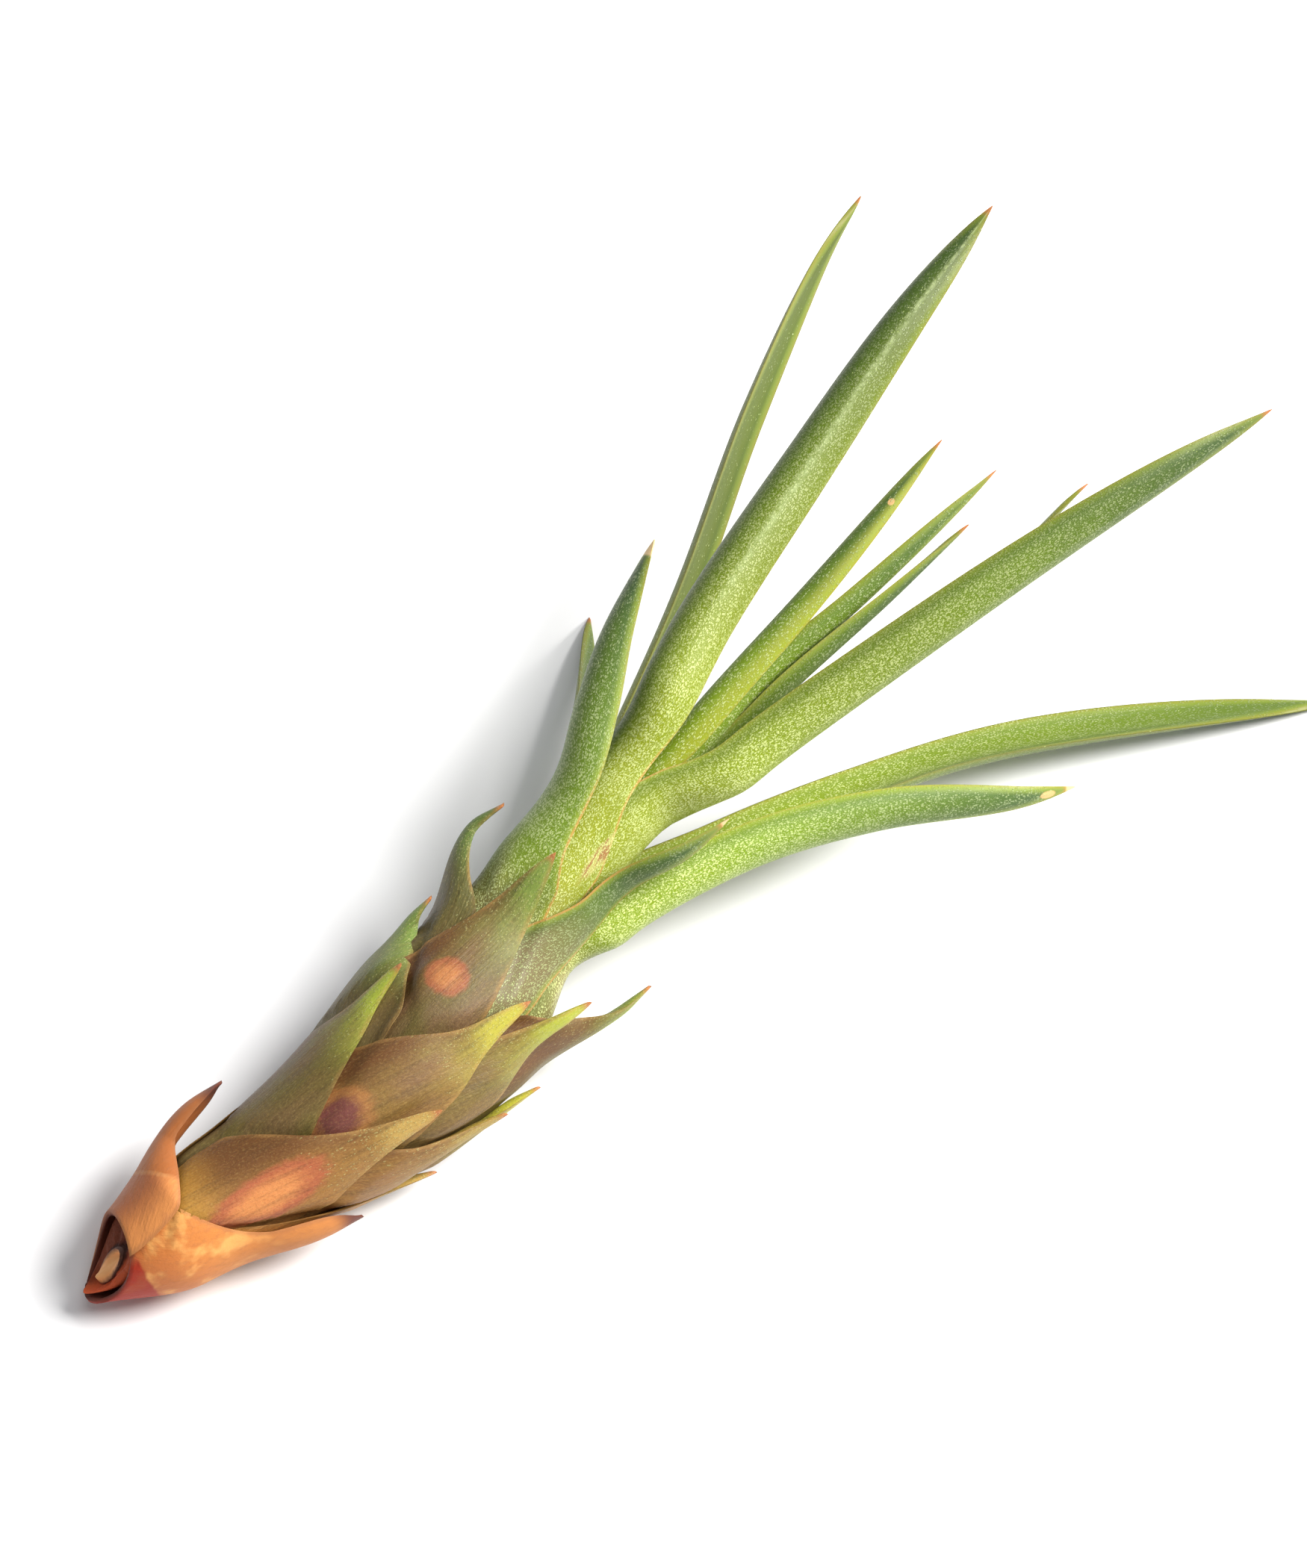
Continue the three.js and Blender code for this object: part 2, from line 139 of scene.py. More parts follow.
# %% Sizes of the bulb and its sheaths
CUT_RADIUS = 1.7
BUTT_RADIUS = 4.9
BUTT_FLARE = (-4, 7)
BELLY_RADIUS = 8.2
NECK_RADIUS = 5.3
BELLY_STATION = 34
BELLY_RISE = 15.5
BELLY_FALL = 7
CUT_STATION = 0.9
CUT_SPREAD = 2.9
STUB_SPREAD = 1.3
CUT_SIDE = 20
STEM_TOP = 54
STEM_RADIUS = 1.5
STUB_RADIUS = 1.05
SHEATH_THICKNESS = 0.4
EDGE_THICKNESS = 0.3
LAYER = SHEATH_THICKNESS + 0.08
FIRST_BASE = 1.5
SCALE_SPACING = 0.9
LEAF_SPACING = 1.4
BASE_RADIUS = 2.37
SMALLEST_RADIUS = 1.7
BASE_SLOPE = 1.6
MARGIN_PAD = 3
MARGIN_FADE = 10
RELEASE = 5
BLADE_THICKNESS = 0.9
POINT_LENGTH = 3
POINT_THICKNESS = 0.6
POINT_CHANNEL = 0.45
NARROWEST = 0.1
DEEPEST_CHANNEL = 1.4
BLADE_LIFT = 0.37
SHEATH_BLEND = 9
BLEND_LEAD = 2
RIDGE_HEIGHT = 0.16
RIDGE_WIDTH = 0.09
EDGE_ROUNDING = 8
NOWHERE = 9  # a ridge or painted fold highlight so far across lies off the leaf
TURN_LEAD = 10
TURN_TAIL = 4
LIFT_POWER = 1.5

# %% The scales of the bulb
PLAIN = dict(
    dry=0, flush=0, dead=0, clean=0, gold=0, shade=0.35, light=1, fold_highlight=NOWHERE, ridge=NOWHERE,
    nest=math.inf, cut=False,
)
SCALE = dict(wrap=66, sheath=8.8, blade=1.1, radius=2.4, shoulder=(2, 24), taper=2)
SCALES = [
    dict(
        name="scale_dry_left", dry=1, flush=0.6, angle=66, free=2, cut=True,
        path=[(6.5, 72, 6.7), (9.5, 75, 7.9), (12.8, 76, 8.5), (16.5, 74, 8.4)],
        shoulder=(5.5, 11.5), wrap=96, blade=3,
    ),
    dict(
        name="scale_dry_right", dry=1, angle=-94, free=9, cut=True,
        path=[(13.8, -100, 6.7), (19.8, -103, 7.3)],
        shoulder=(6.5, 17), wrap=102, blade=3,
    ),
    dict(name="scale_under_1", dry=0.9, flush=0.2, angle=168, free=16, path=[(23.3, 165, 6.8)]),
    dict(name="scale_01", dry=0.9, flush=0.1, angle=-120, free=19, path=[(26.2, -125, 8.2)]),
    dict(name="scale_02", dry=0.75, flush=0.3, angle=-35, free=20, path=[(27.8, -52, 8.6)], shoulder=(2, 21.5)),
    dict(name="scale_under_2", dry=0.6, flush=0.4, angle=128, free=22, path=[(30.8, 132, 8.4)]),
    dict(name="scale_03", dry=0.7, flush=0.4, angle=-62, free=24, path=[(31.9, -97, 8.9)]),
    dict(name="scale_04", dry=0.25, flush=0.5, angle=41, free=27, path=[(35.3, 24, 8.5)]),
    dict(name="scale_05", dry=0.45, flush=0.4, angle=-105, free=27, path=[(35.4, -112, 9.4)]),
    dict(name="scale_under_3", dry=0.4, flush=0.6, angle=-172, free=36, path=[(43.3, 176, 8.4)], sheath=9.2),
    dict(name="scale_06", dry=0.5, flush=0.7, angle=-18, free=31, path=[(39.4, -48, 8.8)]),
    dict(
        name="scale_07", dry=0.07, flush=0.3, angle=68, free=35, path=[(39, 65, 7.9), (42.2, 62, 7.3)],
        shoulder=(0.5, 12), blade=1.5, radius=1.4,
    ),
    dict(name="scale_08", dry=0.35, flush=0.4, angle=-42, free=34, path=[(42.6, -78, 9.8)]),
    dict(name="scale_under_4", dry=0.2, flush=0.5, angle=142, free=37, path=[(46.3, 145, 8.4)]),
    dict(
        name="scale_09", dry=0.2, flush=0.2, angle=-99, free=33,
        path=[(37.2, -111, 10.4), (43.2, -112.5, 11.3), (47.6, -112, 11.7)],
        shoulder=(2, 13), blade=1.8,
    ),
    dict(name="scale_under_5", dry=0.2, flush=0.5, angle=-162, free=39, path=[(48.3, -160, 8.6)]),
    dict(
        name="scale_10", dry=0.15, flush=0.7, angle=0, free=43, path=[(50.7, -9, 7.2)],
        shoulder=(0.5, 29), radius=3.6,
    ),
    dict(
        name="scale_11", flush=0.3, angle=44, free=40, path=[(44.2, 70, 8.9), (48, 75, 8.7), (51.3, 67, 7.3)],
        shoulder=(2, 18), blade=1.7, radius=1.1,
    ),
]

# %% The long leaves
LONG_LEAF = dict(wrap=62, taper=12, path=None, narrow=TURN_TAIL)
LONG_LEAVES = [
    dict(
        name="leaf_short_neck", dead=0.9,
        angle=-38, turn=-74, face=-50, free=50, sheath=3.6, blade=2.6, radius=2.1,
        line=[(-7.5, -6.8, 15.5), (-3.3, -7.9, 16.5), (-0.3, -8.9, 17.5)],
    ),
    dict(
        name="leaf_broad_left", light=1.25, dead=1.6,
        angle=31, turn=48, face=42, free=52, sheath=8.6, blade=5.2, radius=3.2, wrap=72,
        line=[(-3.7, 4.7, 18.9), (3.45, 7.75, 22), (11.4, 10.9, 25)],
    ),
    dict(
        name="leaf_arched_right", light=1.35, dead=1,
        angle=-100, turn=-111, face=-60, free=43, sheath=7.7, blade=3.3, radius=2.5,
        line=[
            (-12, -6.3, 9.8), (-8.3, -6.9, 10.6), (2.3, -10.2, 11.2), (11.7, -15, 10.8), (21.4, -21.4, 9.2),
            (25.9, -24.3, 8.5),
        ],
    ),
    dict(
        name="leaf_low_left",
        angle=125, turn=123, face=128, free=46, sheath=7, blade=3.5, radius=2.7,
        line=[(-6.2, 5.3, 9.5), (-0.9, 8.5, 7), (5.0, 13.0, 4.2), (13.2, 20.7, 0)],
    ),
    dict(
        name="leaf_low_right", light=0.86,
        angle=-142, turn=-142, face=-150, free=48, sheath=6.5, blade=3.2, radius=2.5,
        line=[(0.3, -6.8, 8.9), (12.3, -10.7, 7.5), (26.5, -16.05, 4.7), (52.4, -32.4, 0)],
    ),
    dict(
        name="leaf_big_upper", light=0.8, gold=0.15, ridge=-0.3, fold_highlight=-0.3, shade=-0.25,
        angle=12, turn=30, face=8, free=59, sheath=7, blade=3.9, radius=2.6, nest=4.3, wrap=72, taper=13,
        line=[(1, 1.4, 21.2), (9.6, 3.7, 23.6), (24.3, 6.4, 27), (38.4, 8.35, 31), (50.8, 9.6, 34)],
    ),
    dict(
        name="leaf_big_right", light=0.83, ridge=-0.25, narrow=9,
        angle=-52, turn=-70, face=-52, free=58, sheath=8, blade=3.45, radius=2.6, nest=3.8, wrap=72, taper=17,
        line=[
            (-1.5, -5.7, 17.1), (6.4, -7.35, 19.6), (16.2, -9.85, 22.8), (30.1, -13.35, 26.8), (44, -16.9, 30),
            (53, -19.5, 31),
        ],
    ),
    dict(
        # Dryness and a low light paint this leaf dark olive: partly its own tone, partly painted shade on its
        # face.
        name="leaf_far_top", light=0.8, dry=0.6, clean=1,
        angle=113, turn=123, face=113, free=55, sheath=4, blade=2.5, radius=1.9, nest=3.6,
        line=[(1.6, 5.0, 13.2), (14.5, 10.8, 12.6), (32.4, 19.9, 11.5), (48.7, 26.5, 11.5), (57, 29.1, 12)],
    ),
    dict(
        name="leaf_behind_right",
        angle=-112, turn=-130, face=-110, free=58, sheath=3, blade=2.5, radius=2, nest=2.7,
        line=[(1, -3.6, 13.8), (10.1, -5.3, 15), (29.4, -8.5, 18), (43, -9.4, 20.3)],
    ),
    dict(
        name="leaf_thin_upper", light=1.1, gold=0.4, clean=0.6,
        angle=-10, turn=-22, face=10, free=58, sheath=1.3, blade=2.2, radius=1.6, nest=2.4,
        line=[(5.9, -1.4, 20), (17, -1.3, 23), (33.6, -0.7, 28)],
    ),
    dict(
        name="leaf_thin_lower", clean=0.3,
        angle=-125, turn=-122, face=-90, free=58, sheath=0.9, blade=2.5, radius=1.8, nest=1.8,
        line=[(4.9, -3.4, 15.9), (11.6, -4.2, 19), (22.1, -5.2, 21.7), (31, -6.4, 24)],
    ),
    dict(
        name="leaf_thin_middle", light=1.1, clean=0.3,
        angle=-70, turn=-70, face=-50, free=58, sheath=0.9, blade=1.8, radius=1.3, nest=2.7,
        line=[(9.5, -2.6, 19.5), (19.9, -4.0, 22.5), (35, -5.6, 27)],
    ),
    dict(
        name="leaf_youngest", clean=0.6,
        angle=100, turn=100, face=60, free=58, sheath=0.8, blade=0.9, radius=0.9, nest=2,
        line=[(13.9, -1.5, 20.5), (19.2, -1.9, 22)],
    ),
]

# %% Every leaf in its order of growth
LEAVES = []
for rank, scale in enumerate(SCALES):
    leaf = {**PLAIN, **SCALE, **scale, "rank": rank, "end": scale["path"][-1][0]}
    leaf["base"] = CUT_STATION if leaf["cut"] else FIRST_BASE + rank * SCALE_SPACING
    LEAVES.append(leaf)
for index, long_leaf in enumerate(LONG_LEAVES):
    leaf = {**PLAIN, **LONG_LEAF, **long_leaf, "rank": len(SCALES) + index}
    leaf["base"] = FIRST_BASE + len(SCALES) * SCALE_SPACING + index * LEAF_SPACING
    leaf["end"] = leaf["free"] + SHEATH_BLEND
    LEAVES.append(leaf)
print(len(LEAVES), "leaves, the last springing at station", LEAVES[-1]["base"])

# %% [markdown]
# ## The form of a leaf
# A sheath lies on the bulb, pressed in by the thickness of whatever lies over it. Where it comes free, it
# turns smoothly into a blade that curls round its own middle line. Written as formulas, one function serves
# every leaf, and the mesh can be as fine as the picture needs without leaving the solid model's form.

# %% How a sheath lies on the bulb
def bulb_radius(station):
    station = np.asarray(station, float)
    rising = station < BELLY_STATION
    end = np.where(rising, BUTT_RADIUS, NECK_RADIUS)
    reach = (station - BELLY_STATION) / np.where(rising, BELLY_RISE, BELLY_FALL)
    radius = end + (BELLY_RADIUS - end) * np.exp(-reach * reach)
    return mix(CUT_RADIUS, radius, step(station, *BUTT_FLARE))


def cut_station(angle, spread):
    return CUT_STATION + spread * np.cos(np.radians(angle - CUT_SIDE))


def half_width(leaf, station, left):
    if leaf["path"]:
        opened = step(leaf["end"] - station, *leaf["shoulder"])
    else:
        opened = 1 - step(station, leaf["free"] - TURN_LEAD, leaf["free"] + leaf["narrow"])
    blade = leaf["blade"] * (1 - np.exp(-left / leaf["taper"]))
    widest = math.radians(leaf["wrap"]) * bulb_radius(station)
    return np.minimum(blade + (leaf["sheath"] - leaf["blade"]) * opened, widest)


def middle_angle(leaf, station):
    last = leaf["path"][-1][1] if leaf["path"] else leaf["turn"]
    turned = leaf["end"] if leaf["path"] else leaf["free"]
    turn = wrapped(last - leaf["angle"])
    return leaf["angle"] + turn * step(station, leaf["free"] - TURN_LEAD, turned)


def cover(leaf, angle, station):
    """1 where a leaf lies over the leaves inside it, and 0 beyond its margins and where it lifts off."""
    left = np.maximum(leaf["end"] - station, 0) if leaf["path"] else math.inf
    half = np.degrees(half_width(leaf, station, left) / bulb_radius(station))
    away = np.abs(wrapped(angle - middle_angle(leaf, station)))
    across = 1 - step(away, half + MARGIN_PAD, half + MARGIN_PAD + MARGIN_FADE)
    lift = leaf["path"][-1][2] - float(bulb_radius(leaf["end"])) if leaf["path"] else 2 * LAYER
    lifted = mix(leaf["free"], leaf["end"], (LAYER / max(lift, LAYER)) ** (1 / LIFT_POWER))
    return across * (1 - step(station, lifted, lifted + RELEASE))


def buried(leaf, angle, station):
    return LAYER * sum(cover(other, angle, station) for other in LEAVES[: leaf["rank"]])


def sheath_radius(leaf, angle, station):
    springing = math.inf if leaf["cut"] else BASE_RADIUS + BASE_SLOPE * (station - leaf["base"])
    packed = np.maximum(bulb_radius(station) - buried(leaf, angle, station), SMALLEST_RADIUS)
    return np.minimum(np.minimum(packed, springing), leaf["nest"])


# %% A leaf as a grid of points
def middle_line(leaf):
    stations = np.array([leaf["base"], (leaf["base"] + leaf["free"]) / 2, leaf["free"]])
    angles = middle_angle(leaf, stations)
    points = round_the_stem(stations, angles, sheath_radius(leaf, angles, stations))
    if leaf["path"]:
        places = np.array(leaf["path"], float)
        return Line(np.vstack([points, round_the_stem(places[:, 0], places[:, 1], places[:, 2])]))
    blade = np.array(leaf["line"], float)
    blade[:-1] += outward(leaf["end"], leaf["face"]) * BLADE_LIFT * leaf["radius"]
    return Line(np.vstack([points, blade]))


def leaf_grid(leaf, shares, across):
    """Outer and inner points of a leaf, one row for each share of its length, and what its colours need."""
    line = middle_line(leaf)
    share, across = np.meshgrid(shares, across, indexing="ij")
    left = line.length * (1 - share)
    plain = mix(leaf["base"], leaf["end"], share) if leaf["path"] else leaf["base"] + line.length * share
    half = half_width(leaf, plain, left)
    middle = middle_angle(leaf, plain)
    angle = middle + np.degrees(across * half / bulb_radius(plain))
    station = mix(cut_station(angle, CUT_SPREAD), leaf["end"], share) if leaf["cut"] else plain
    blended = leaf["end"] - (BLEND_LEAD if leaf["path"] else 0)
    freed = step(station, leaf["free"] - BLEND_LEAD, blended)
    out = outward(station, angle)
    sheath = stem_frame(station)[0] + out * sheath_radius(leaf, angle, station)[..., None]

    point, forward = line.at(line.length * share)
    back = outward(station, middle if leaf["path"] else np.full_like(station, leaf["face"]))
    back = unit(back - forward * np.sum(back * forward, -1, keepdims=True))
    side = np.cross(back, forward)
    full = np.minimum(half / leaf["blade"], 1)
    channel = np.maximum(leaf["radius"] * mix(POINT_CHANNEL, 1, full), half / DEEPEST_CHANNEL)
    turn = (across * half / channel)[..., None]
    blade_out = back * np.cos(turn) + side * np.sin(turn)
    blade = point + (blade_out - back) * channel[..., None]

    outer = mix(sheath, blade, freed[..., None])
    crest = np.exp(-(((across - leaf["ridge"]) / RIDGE_WIDTH) ** 2)) * freed
    normal = unit(mix(out, blade_out, freed[..., None]))
    body = mix(SHEATH_THICKNESS, BLADE_THICKNESS, freed * full)
    pointed = mix(POINT_THICKNESS, 1, step(left, 0, POINT_LENGTH))
    thickness = mix(body, EDGE_THICKNESS, across**2) * pointed * np.sqrt(1 - np.abs(across) ** EDGE_ROUNDING)
    thickness = np.minimum(thickness, NARROWEST + half)
    floor = buried(leaf, angle, station) * (1 - freed)
    outer = outer + normal * (RIDGE_HEIGHT * crest * full)[..., None]
    outer[..., 2] = np.maximum(outer[..., 2], floor)
    inner = outer - normal * thickness[..., None]
    inner[..., 2] = np.maximum(inner[..., 2], floor)
    facts = {"tip": left, "edge": half * (1 - np.abs(across)), "across": across * half, "free": freed,
             "station": station, "angle": wrapped(angle), "side": across}
    return outer, inner, line.at(line.length)[0], facts


# %% [markdown]
# ## A leaf as a mesh
# The two sides share their margin, so the edge is thin and rounded as on a real leaf. Each point also keeps
# what its colour depends on: the distance to the tip and to the margin, how far the leaf has come free, which
# side it is on, and the leaf's own dryness, flush and lightness. The materials read these as attributes, so a
# pattern follows the leaf round its bends, which it couldn't do from the object's own coordinates.

# %% Meshes, and what their points remember
TIP_X, TIP_Y = 57, -32.6  # where the drawing of the solid model has the points of two leaves
SHIFT = np.array([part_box("leaf_far_top")[1].x / MM - TIP_X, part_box("leaf_low_right")[0].y / MM - TIP_Y, 0])
print("the drawing's millimetres are moved by", SHIFT.round(2))


def new_object(name, data):
    made = bpy.data.objects.new(name, data)
    bpy.context.scene.collection.objects.link(made)
    return made


def mesh_piece(name, points, faces):
    mesh = bpy.data.meshes.new(name)
    mesh.from_pydata(((points + SHIFT) * MM).tolist(), [], faces)
    mesh.polygons.foreach_set("use_smooth", np.ones(len(mesh.polygons), bool))
    return new_object(name, mesh)


def set_attribute(mesh, name, values):
    kind = "FLOAT_VECTOR" if np.ndim(values) == 2 else "FLOAT"
    made = mesh.attributes.new(name, kind, "POINT")
    made.data.foreach_set("vector" if kind == "FLOAT_VECTOR" else "value", np.ravel(values).astype(np.float32))


def leaf_facts(mesh, names):
    values = []
    for name in names:
        values.append(np.zeros(len(mesh.vertices), np.float32))
        mesh.attributes["leaf_" + name].data.foreach_get("value", values[-1])
    return values


def ring_faces(rings, around, joined=False):
    """Quads between rings of points. The last ring meets the first one if joined."""
    faces = []
    for ring in range(rings if joined else rings - 1):
        here, there = ring * around, (ring + 1) % rings * around
        for i in range(around):
            following = (i + 1) % around
            faces.append((here + i, there + i, there + following, here + following))
    return faces


# %% Build one leaf
SCALE_MESH, LONG_MESH = (56, 33), (120, 25)  # rows along a leaf, and columns across it
CROWDING = 1.35  # how much closer the rows lie at the point


def leaf_piece(leaf):
    rows, columns = SCALE_MESH if leaf["path"] else LONG_MESH
    shares = 1 - (1 - np.linspace(0, 1, rows + 1)[:-1]) ** CROWDING
    across = np.sin(np.linspace(-1, 1, columns) * math.pi / 2)
    outer, inner, tip, facts = leaf_grid(leaf, shares, across)
    ring = 2 * columns - 2
    points = np.concatenate([outer, inner[:, -2:0:-1]], axis=1).reshape(-1, 3)
    points = np.vstack([points, tip])
    faces = ring_faces(rows, ring)
    base_cap = [(i, i + 1, ring - 1 - i, ring - i) for i in range(1, columns - 2)]
    faces += [(0, 1, ring - 1), *base_cap, (columns - 2, columns - 1, columns)]
    last = (rows - 1) * ring
    faces += [(last + i, len(points) - 1, last + (i + 1) % ring) for i in range(ring)]
    piece = mesh_piece(leaf["name"] + "_fine", points, faces)

    def both_sides(values, at_tip):
        return np.append(np.concatenate([values, values[:, -2:0:-1]], axis=1).ravel(), at_tip)

    for name, values in facts.items():
        at_tip = 0 if name in ("tip", "edge") else values[-1].mean()
        set_attribute(piece.data, "leaf_" + name, both_sides(values, at_tip))
    for name in ("dry", "flush", "dead", "clean", "gold", "shade", "light", "fold_highlight"):
        set_attribute(piece.data, "leaf_" + name, np.full(len(points), leaf[name]))
    inside = np.concatenate([np.zeros_like(outer[..., 0]), np.ones_like(inner[:, -2:0:-1, 0])], axis=1)
    set_attribute(piece.data, "leaf_inside", np.append(inside.ravel(), 0))
    growth = unit(np.gradient(points[:-1].reshape(rows, ring, 3), axis=0))
    set_attribute(piece.data, "growth", np.vstack([growth.reshape(-1, 3), growth[-1, 0]]))
    return piece


pieces = {leaf["name"]: leaf_piece(leaf) for leaf in LEAVES}
print("leaf meshes:", sum(len(piece.data.polygons) for piece in pieces.values()), "faces")

# %% [markdown]
# ## Node helpers
# A plant's skin needs many layers of colour, and a node tree drawn by hand would be hard to change. So the
# materials here are built in code. One small class wraps a node tree, and has a short call for each kind of
# node that the finishes use: arithmetic, soft steps, colours laid over each other, and noise.

# %% A node tree with short calls
def rgba(value):
    return (*value, 1) if isinstance(value, tuple) else value


class Nodes:
    def __init__(self, tree):
        self.tree = tree

    def feed(self, node, inputs):
        """Gives a node's inputs their values, or links them where the value comes from another node."""
        for name, value in inputs.items():
            if isinstance(value, bpy.types.NodeSocket):
                self.tree.links.new(value, node.inputs[name])
            else:
                node.inputs[name].default_value = value

    def add(self, kind, inputs=(), **settings):
        made = self.tree.nodes.new(kind)
        for name, value in settings.items():
            setattr(made, name, value)
        self.feed(made, dict(inputs))
        return made

    def arithmetic(self, operation, *values, clamp=False):
        return self.add("ShaderNodeMath", enumerate(values), operation=operation, use_clamp=clamp).outputs[0]

    def times(self, value, by):
        return self.arithmetic("MULTIPLY", value, by)

    def minus(self, value, by):
        return self.arithmetic("SUBTRACT", value, by)

    def times_plus(self, value, by, more):
        return self.arithmetic("MULTIPLY_ADD", value, by, more)

    def between(self, value, low, high):
        """0 below low and 1 above high, with a smooth rise; the other way round if low is above high."""
        reach = {"Value": value, "From Min": min(low, high), "From Max": max(low, high),
                 "To Min": float(low > high), "To Max": float(low < high)}
        return self.add("ShaderNodeMapRange", reach, interpolation_type="SMOOTHSTEP").outputs[0]

    def mix(self, factor, low, high):
        return self.add("ShaderNodeMapRange", {"Value": factor, "To Min": low, "To Max": high}).outputs[0]

    def blend(self, factor, low, high):
        """One colour at 0 and another at 1. The mix node's colour inputs are its seventh and eighth."""
        return self.add("ShaderNodeMix", {0: factor, 6: rgba(low), 7: rgba(high)}, data_type="RGBA").outputs[2]

    def paint(self, under, mask, colour, strength=1):
        """A colour laid over what is under it, where the mask is 1."""
        return self.blend(mask if strength == 1 else self.times(mask, strength), under, colour)

    def layers(self, under, *layers):
        """Colours laid one over another, each with its mask and, where it is thin, its strength."""
        for layer in layers:
            under = self.paint(under, *layer)
        return under

    def ramp(self, value, low, high, stops):
        """A colour that runs through stops of (value, colour) between two values."""
        reach = {"Value": value, "From Min": low, "From Max": high}
        made = self.add("ShaderNodeValToRGB", {"Fac": self.add("ShaderNodeMapRange", reach).outputs[0]})
        elements = made.color_ramp.elements
        while len(elements) < len(stops):
            elements.new(0.5)
        for element, (place, colour) in zip(elements, stops):
            element.position = (place - low) / (high - low)
            element.color = (*colour, 1)
        return made.outputs["Color"]

    def attribute(self, name, vector=False):
        made = self.add("ShaderNodeAttribute", attribute_name=name)
        return made.outputs["Vector" if vector else "Fac"]

    def leaf(self, name):
        return self.attribute("leaf_" + name)

    def noise(self, place, scale, detail=3, roughness=0.5):
        values = {"Vector": place, "Scale": scale, "Detail": detail, "Roughness": roughness}
        return self.add("ShaderNodeTexNoise", values).outputs["Fac"]

    def stretched(self, place, across, along):
        return self.add("ShaderNodeMapping", {"Vector": place, "Scale": (across, along, 1)}).outputs[0]

    def streaks(self, place, across, along, detail=3, roughness=0.5):
        """Noise with so many features a millimetre across a leaf and along it."""
        return self.noise(self.stretched(place, across, along), 1, detail, roughness)

    def use(self, group, inputs=()):
        return self.add("ShaderNodeGroup", dict(inputs), node_tree=group).outputs

    def relief(self, *layers):
        """Bumps one over the other: each layer is a height, its depth in metres and its strength."""
        inputs = {}
        for height, depth, strength in layers:
            inputs = {**inputs, "Height": height, "Distance": depth, "Strength": strength}
            inputs["Normal"] = self.add("ShaderNodeBump", inputs).outputs[0]
        return inputs["Normal"]


# %% New materials and groups
def new_material(name):
    made = bpy.data.materials.new(name)
    made.use_nodes = True
    return made, Nodes(made.node_tree), made.node_tree.nodes["Principled BSDF"]


def new_group(name, inputs, outputs):
    tree = bpy.data.node_groups.new(name, "ShaderNodeTree")
    for label, kind in inputs:
        tree.interface.new_socket(label, in_out="INPUT", socket_type="NodeSocket" + kind)
    for label, kind in outputs:
        tree.interface.new_socket(label, in_out="OUTPUT", socket_type="NodeSocket" + kind)
    return Nodes(tree), tree.nodes.new("NodeGroupInput").outputs, tree.nodes.new("NodeGroupOutput")


# %% [markdown]
# ## Effects that several finishes share
# Air plants drink through tiny silver scales that cover their skin. Close up they are pale dashes, about a
# quarter of a millimetre long. Under them, the skin has fine ribs that run with the leaf. Both could be drawn
# on the object's coordinates, but then they would cut across a curved leaf. So they are node groups on the
# leaf's own millimetres, and keep their size and their direction on every leaf.

# %% Leaf coordinates
INNER_SHEET = 37  # how far the pattern of a leaf's inner side is from that of its outer side


def make_leaf_place():
    """The leaf's own coordinates in millimetres: across it, along it, and a different sheet for each side."""
    n, _, result = new_group("leaf place", [], [("Place", "Vector")])
    sheet = n.times_plus(n.leaf("inside"), INNER_SHEET, n.leaf("free"))
    place = {"X": n.leaf("across"), "Y": n.leaf("tip"), "Z": sheet}
    n.feed(result, {"Place": n.add("ShaderNodeCombineXYZ", place).outputs[0]})
    return n.tree


# %% Silver flecks and ribs
def make_flecks():
    """Short pale dashes along the leaf. Size is a cell's width, and Amount the share of cells with a dash."""
    n, given, result = new_group(
        "silver flecks", [("Place", "Vector"), ("Size", "Float"), ("Amount", "Float")], [("Mask", "Float")],
    )
    wander = n.add("ShaderNodeTexNoise", {"Vector": given["Place"], "Scale": 2.6, "Detail": 2}).outputs["Color"]
    shift = {0: wander, 1: (0.12, 0.2, 0), 2: given["Place"]}
    moved = n.add("ShaderNodeVectorMath", shift, operation="MULTIPLY_ADD").outputs[0]
    shrink = {0: moved, "Scale": n.arithmetic("DIVIDE", 1, given["Size"])}
    cells = n.stretched(n.add("ShaderNodeVectorMath", shrink, operation="SCALE").outputs[0], 1, 0.6)
    dots = n.add("ShaderNodeTexVoronoi", {"Vector": cells, "Scale": 1, "Randomness": 0.75}).outputs
    chance = n.add("ShaderNodeSeparateColor", {"Color": dots["Color"]}).outputs[0]
    chosen = n.arithmetic("LESS_THAN", chance, given["Amount"])
    n.feed(result, {"Mask": n.times(n.between(dots["Distance"], 0.48, 0.34), chosen)})
    return n.tree


def make_ribs():
    """Fine ribs that run along a leaf, with a soft unevenness."""
    n, given, result = new_group("leaf ribs", [("Place", "Vector")], [("Height", "Float")])
    fine = n.streaks(given["Place"], 5, 0.14, 4, 0.6)
    soft = n.streaks(given["Place"], 0.7, 0.25, 2)
    n.feed(result, {"Height": n.times_plus(fine, 0.5, soft)})
    return n.tree


LEAF_PLACE = make_leaf_place()
FLECKS = make_flecks()
RIBS = make_ribs()
print("node groups:", [group.name for group in bpy.data.node_groups])

# %% [markdown]
# ## Marks on single leaves
# Some leaves carry a mark of their own: a spot, a bruise, a scar or a papery patch. Each is an oval round one
# place on its leaf. The mesh stores how far every point is from that place, counted in the oval's own
# half-lengths, and the materials turn that distance into a soft, uneven patch.

# %% Place and shape of a mark
FAR_OFF = 10  # a leaf without the mark reads 0, so this keeps it far from the mark's middle


def blemish(name, label, station, angle, length, width):
    """Stores where the points of one leaf lie from a mark's middle, in the mark's half-lengths."""
    mesh = pieces[name].data
    stations, angles = leaf_facts(mesh, ("station", "angle"))
    place = [(stations - station) / length, wrapped(angles - angle) / width]
    set_attribute(mesh, label, np.stack([*place, 0 * place[0]], axis=1) + FAR_OFF)


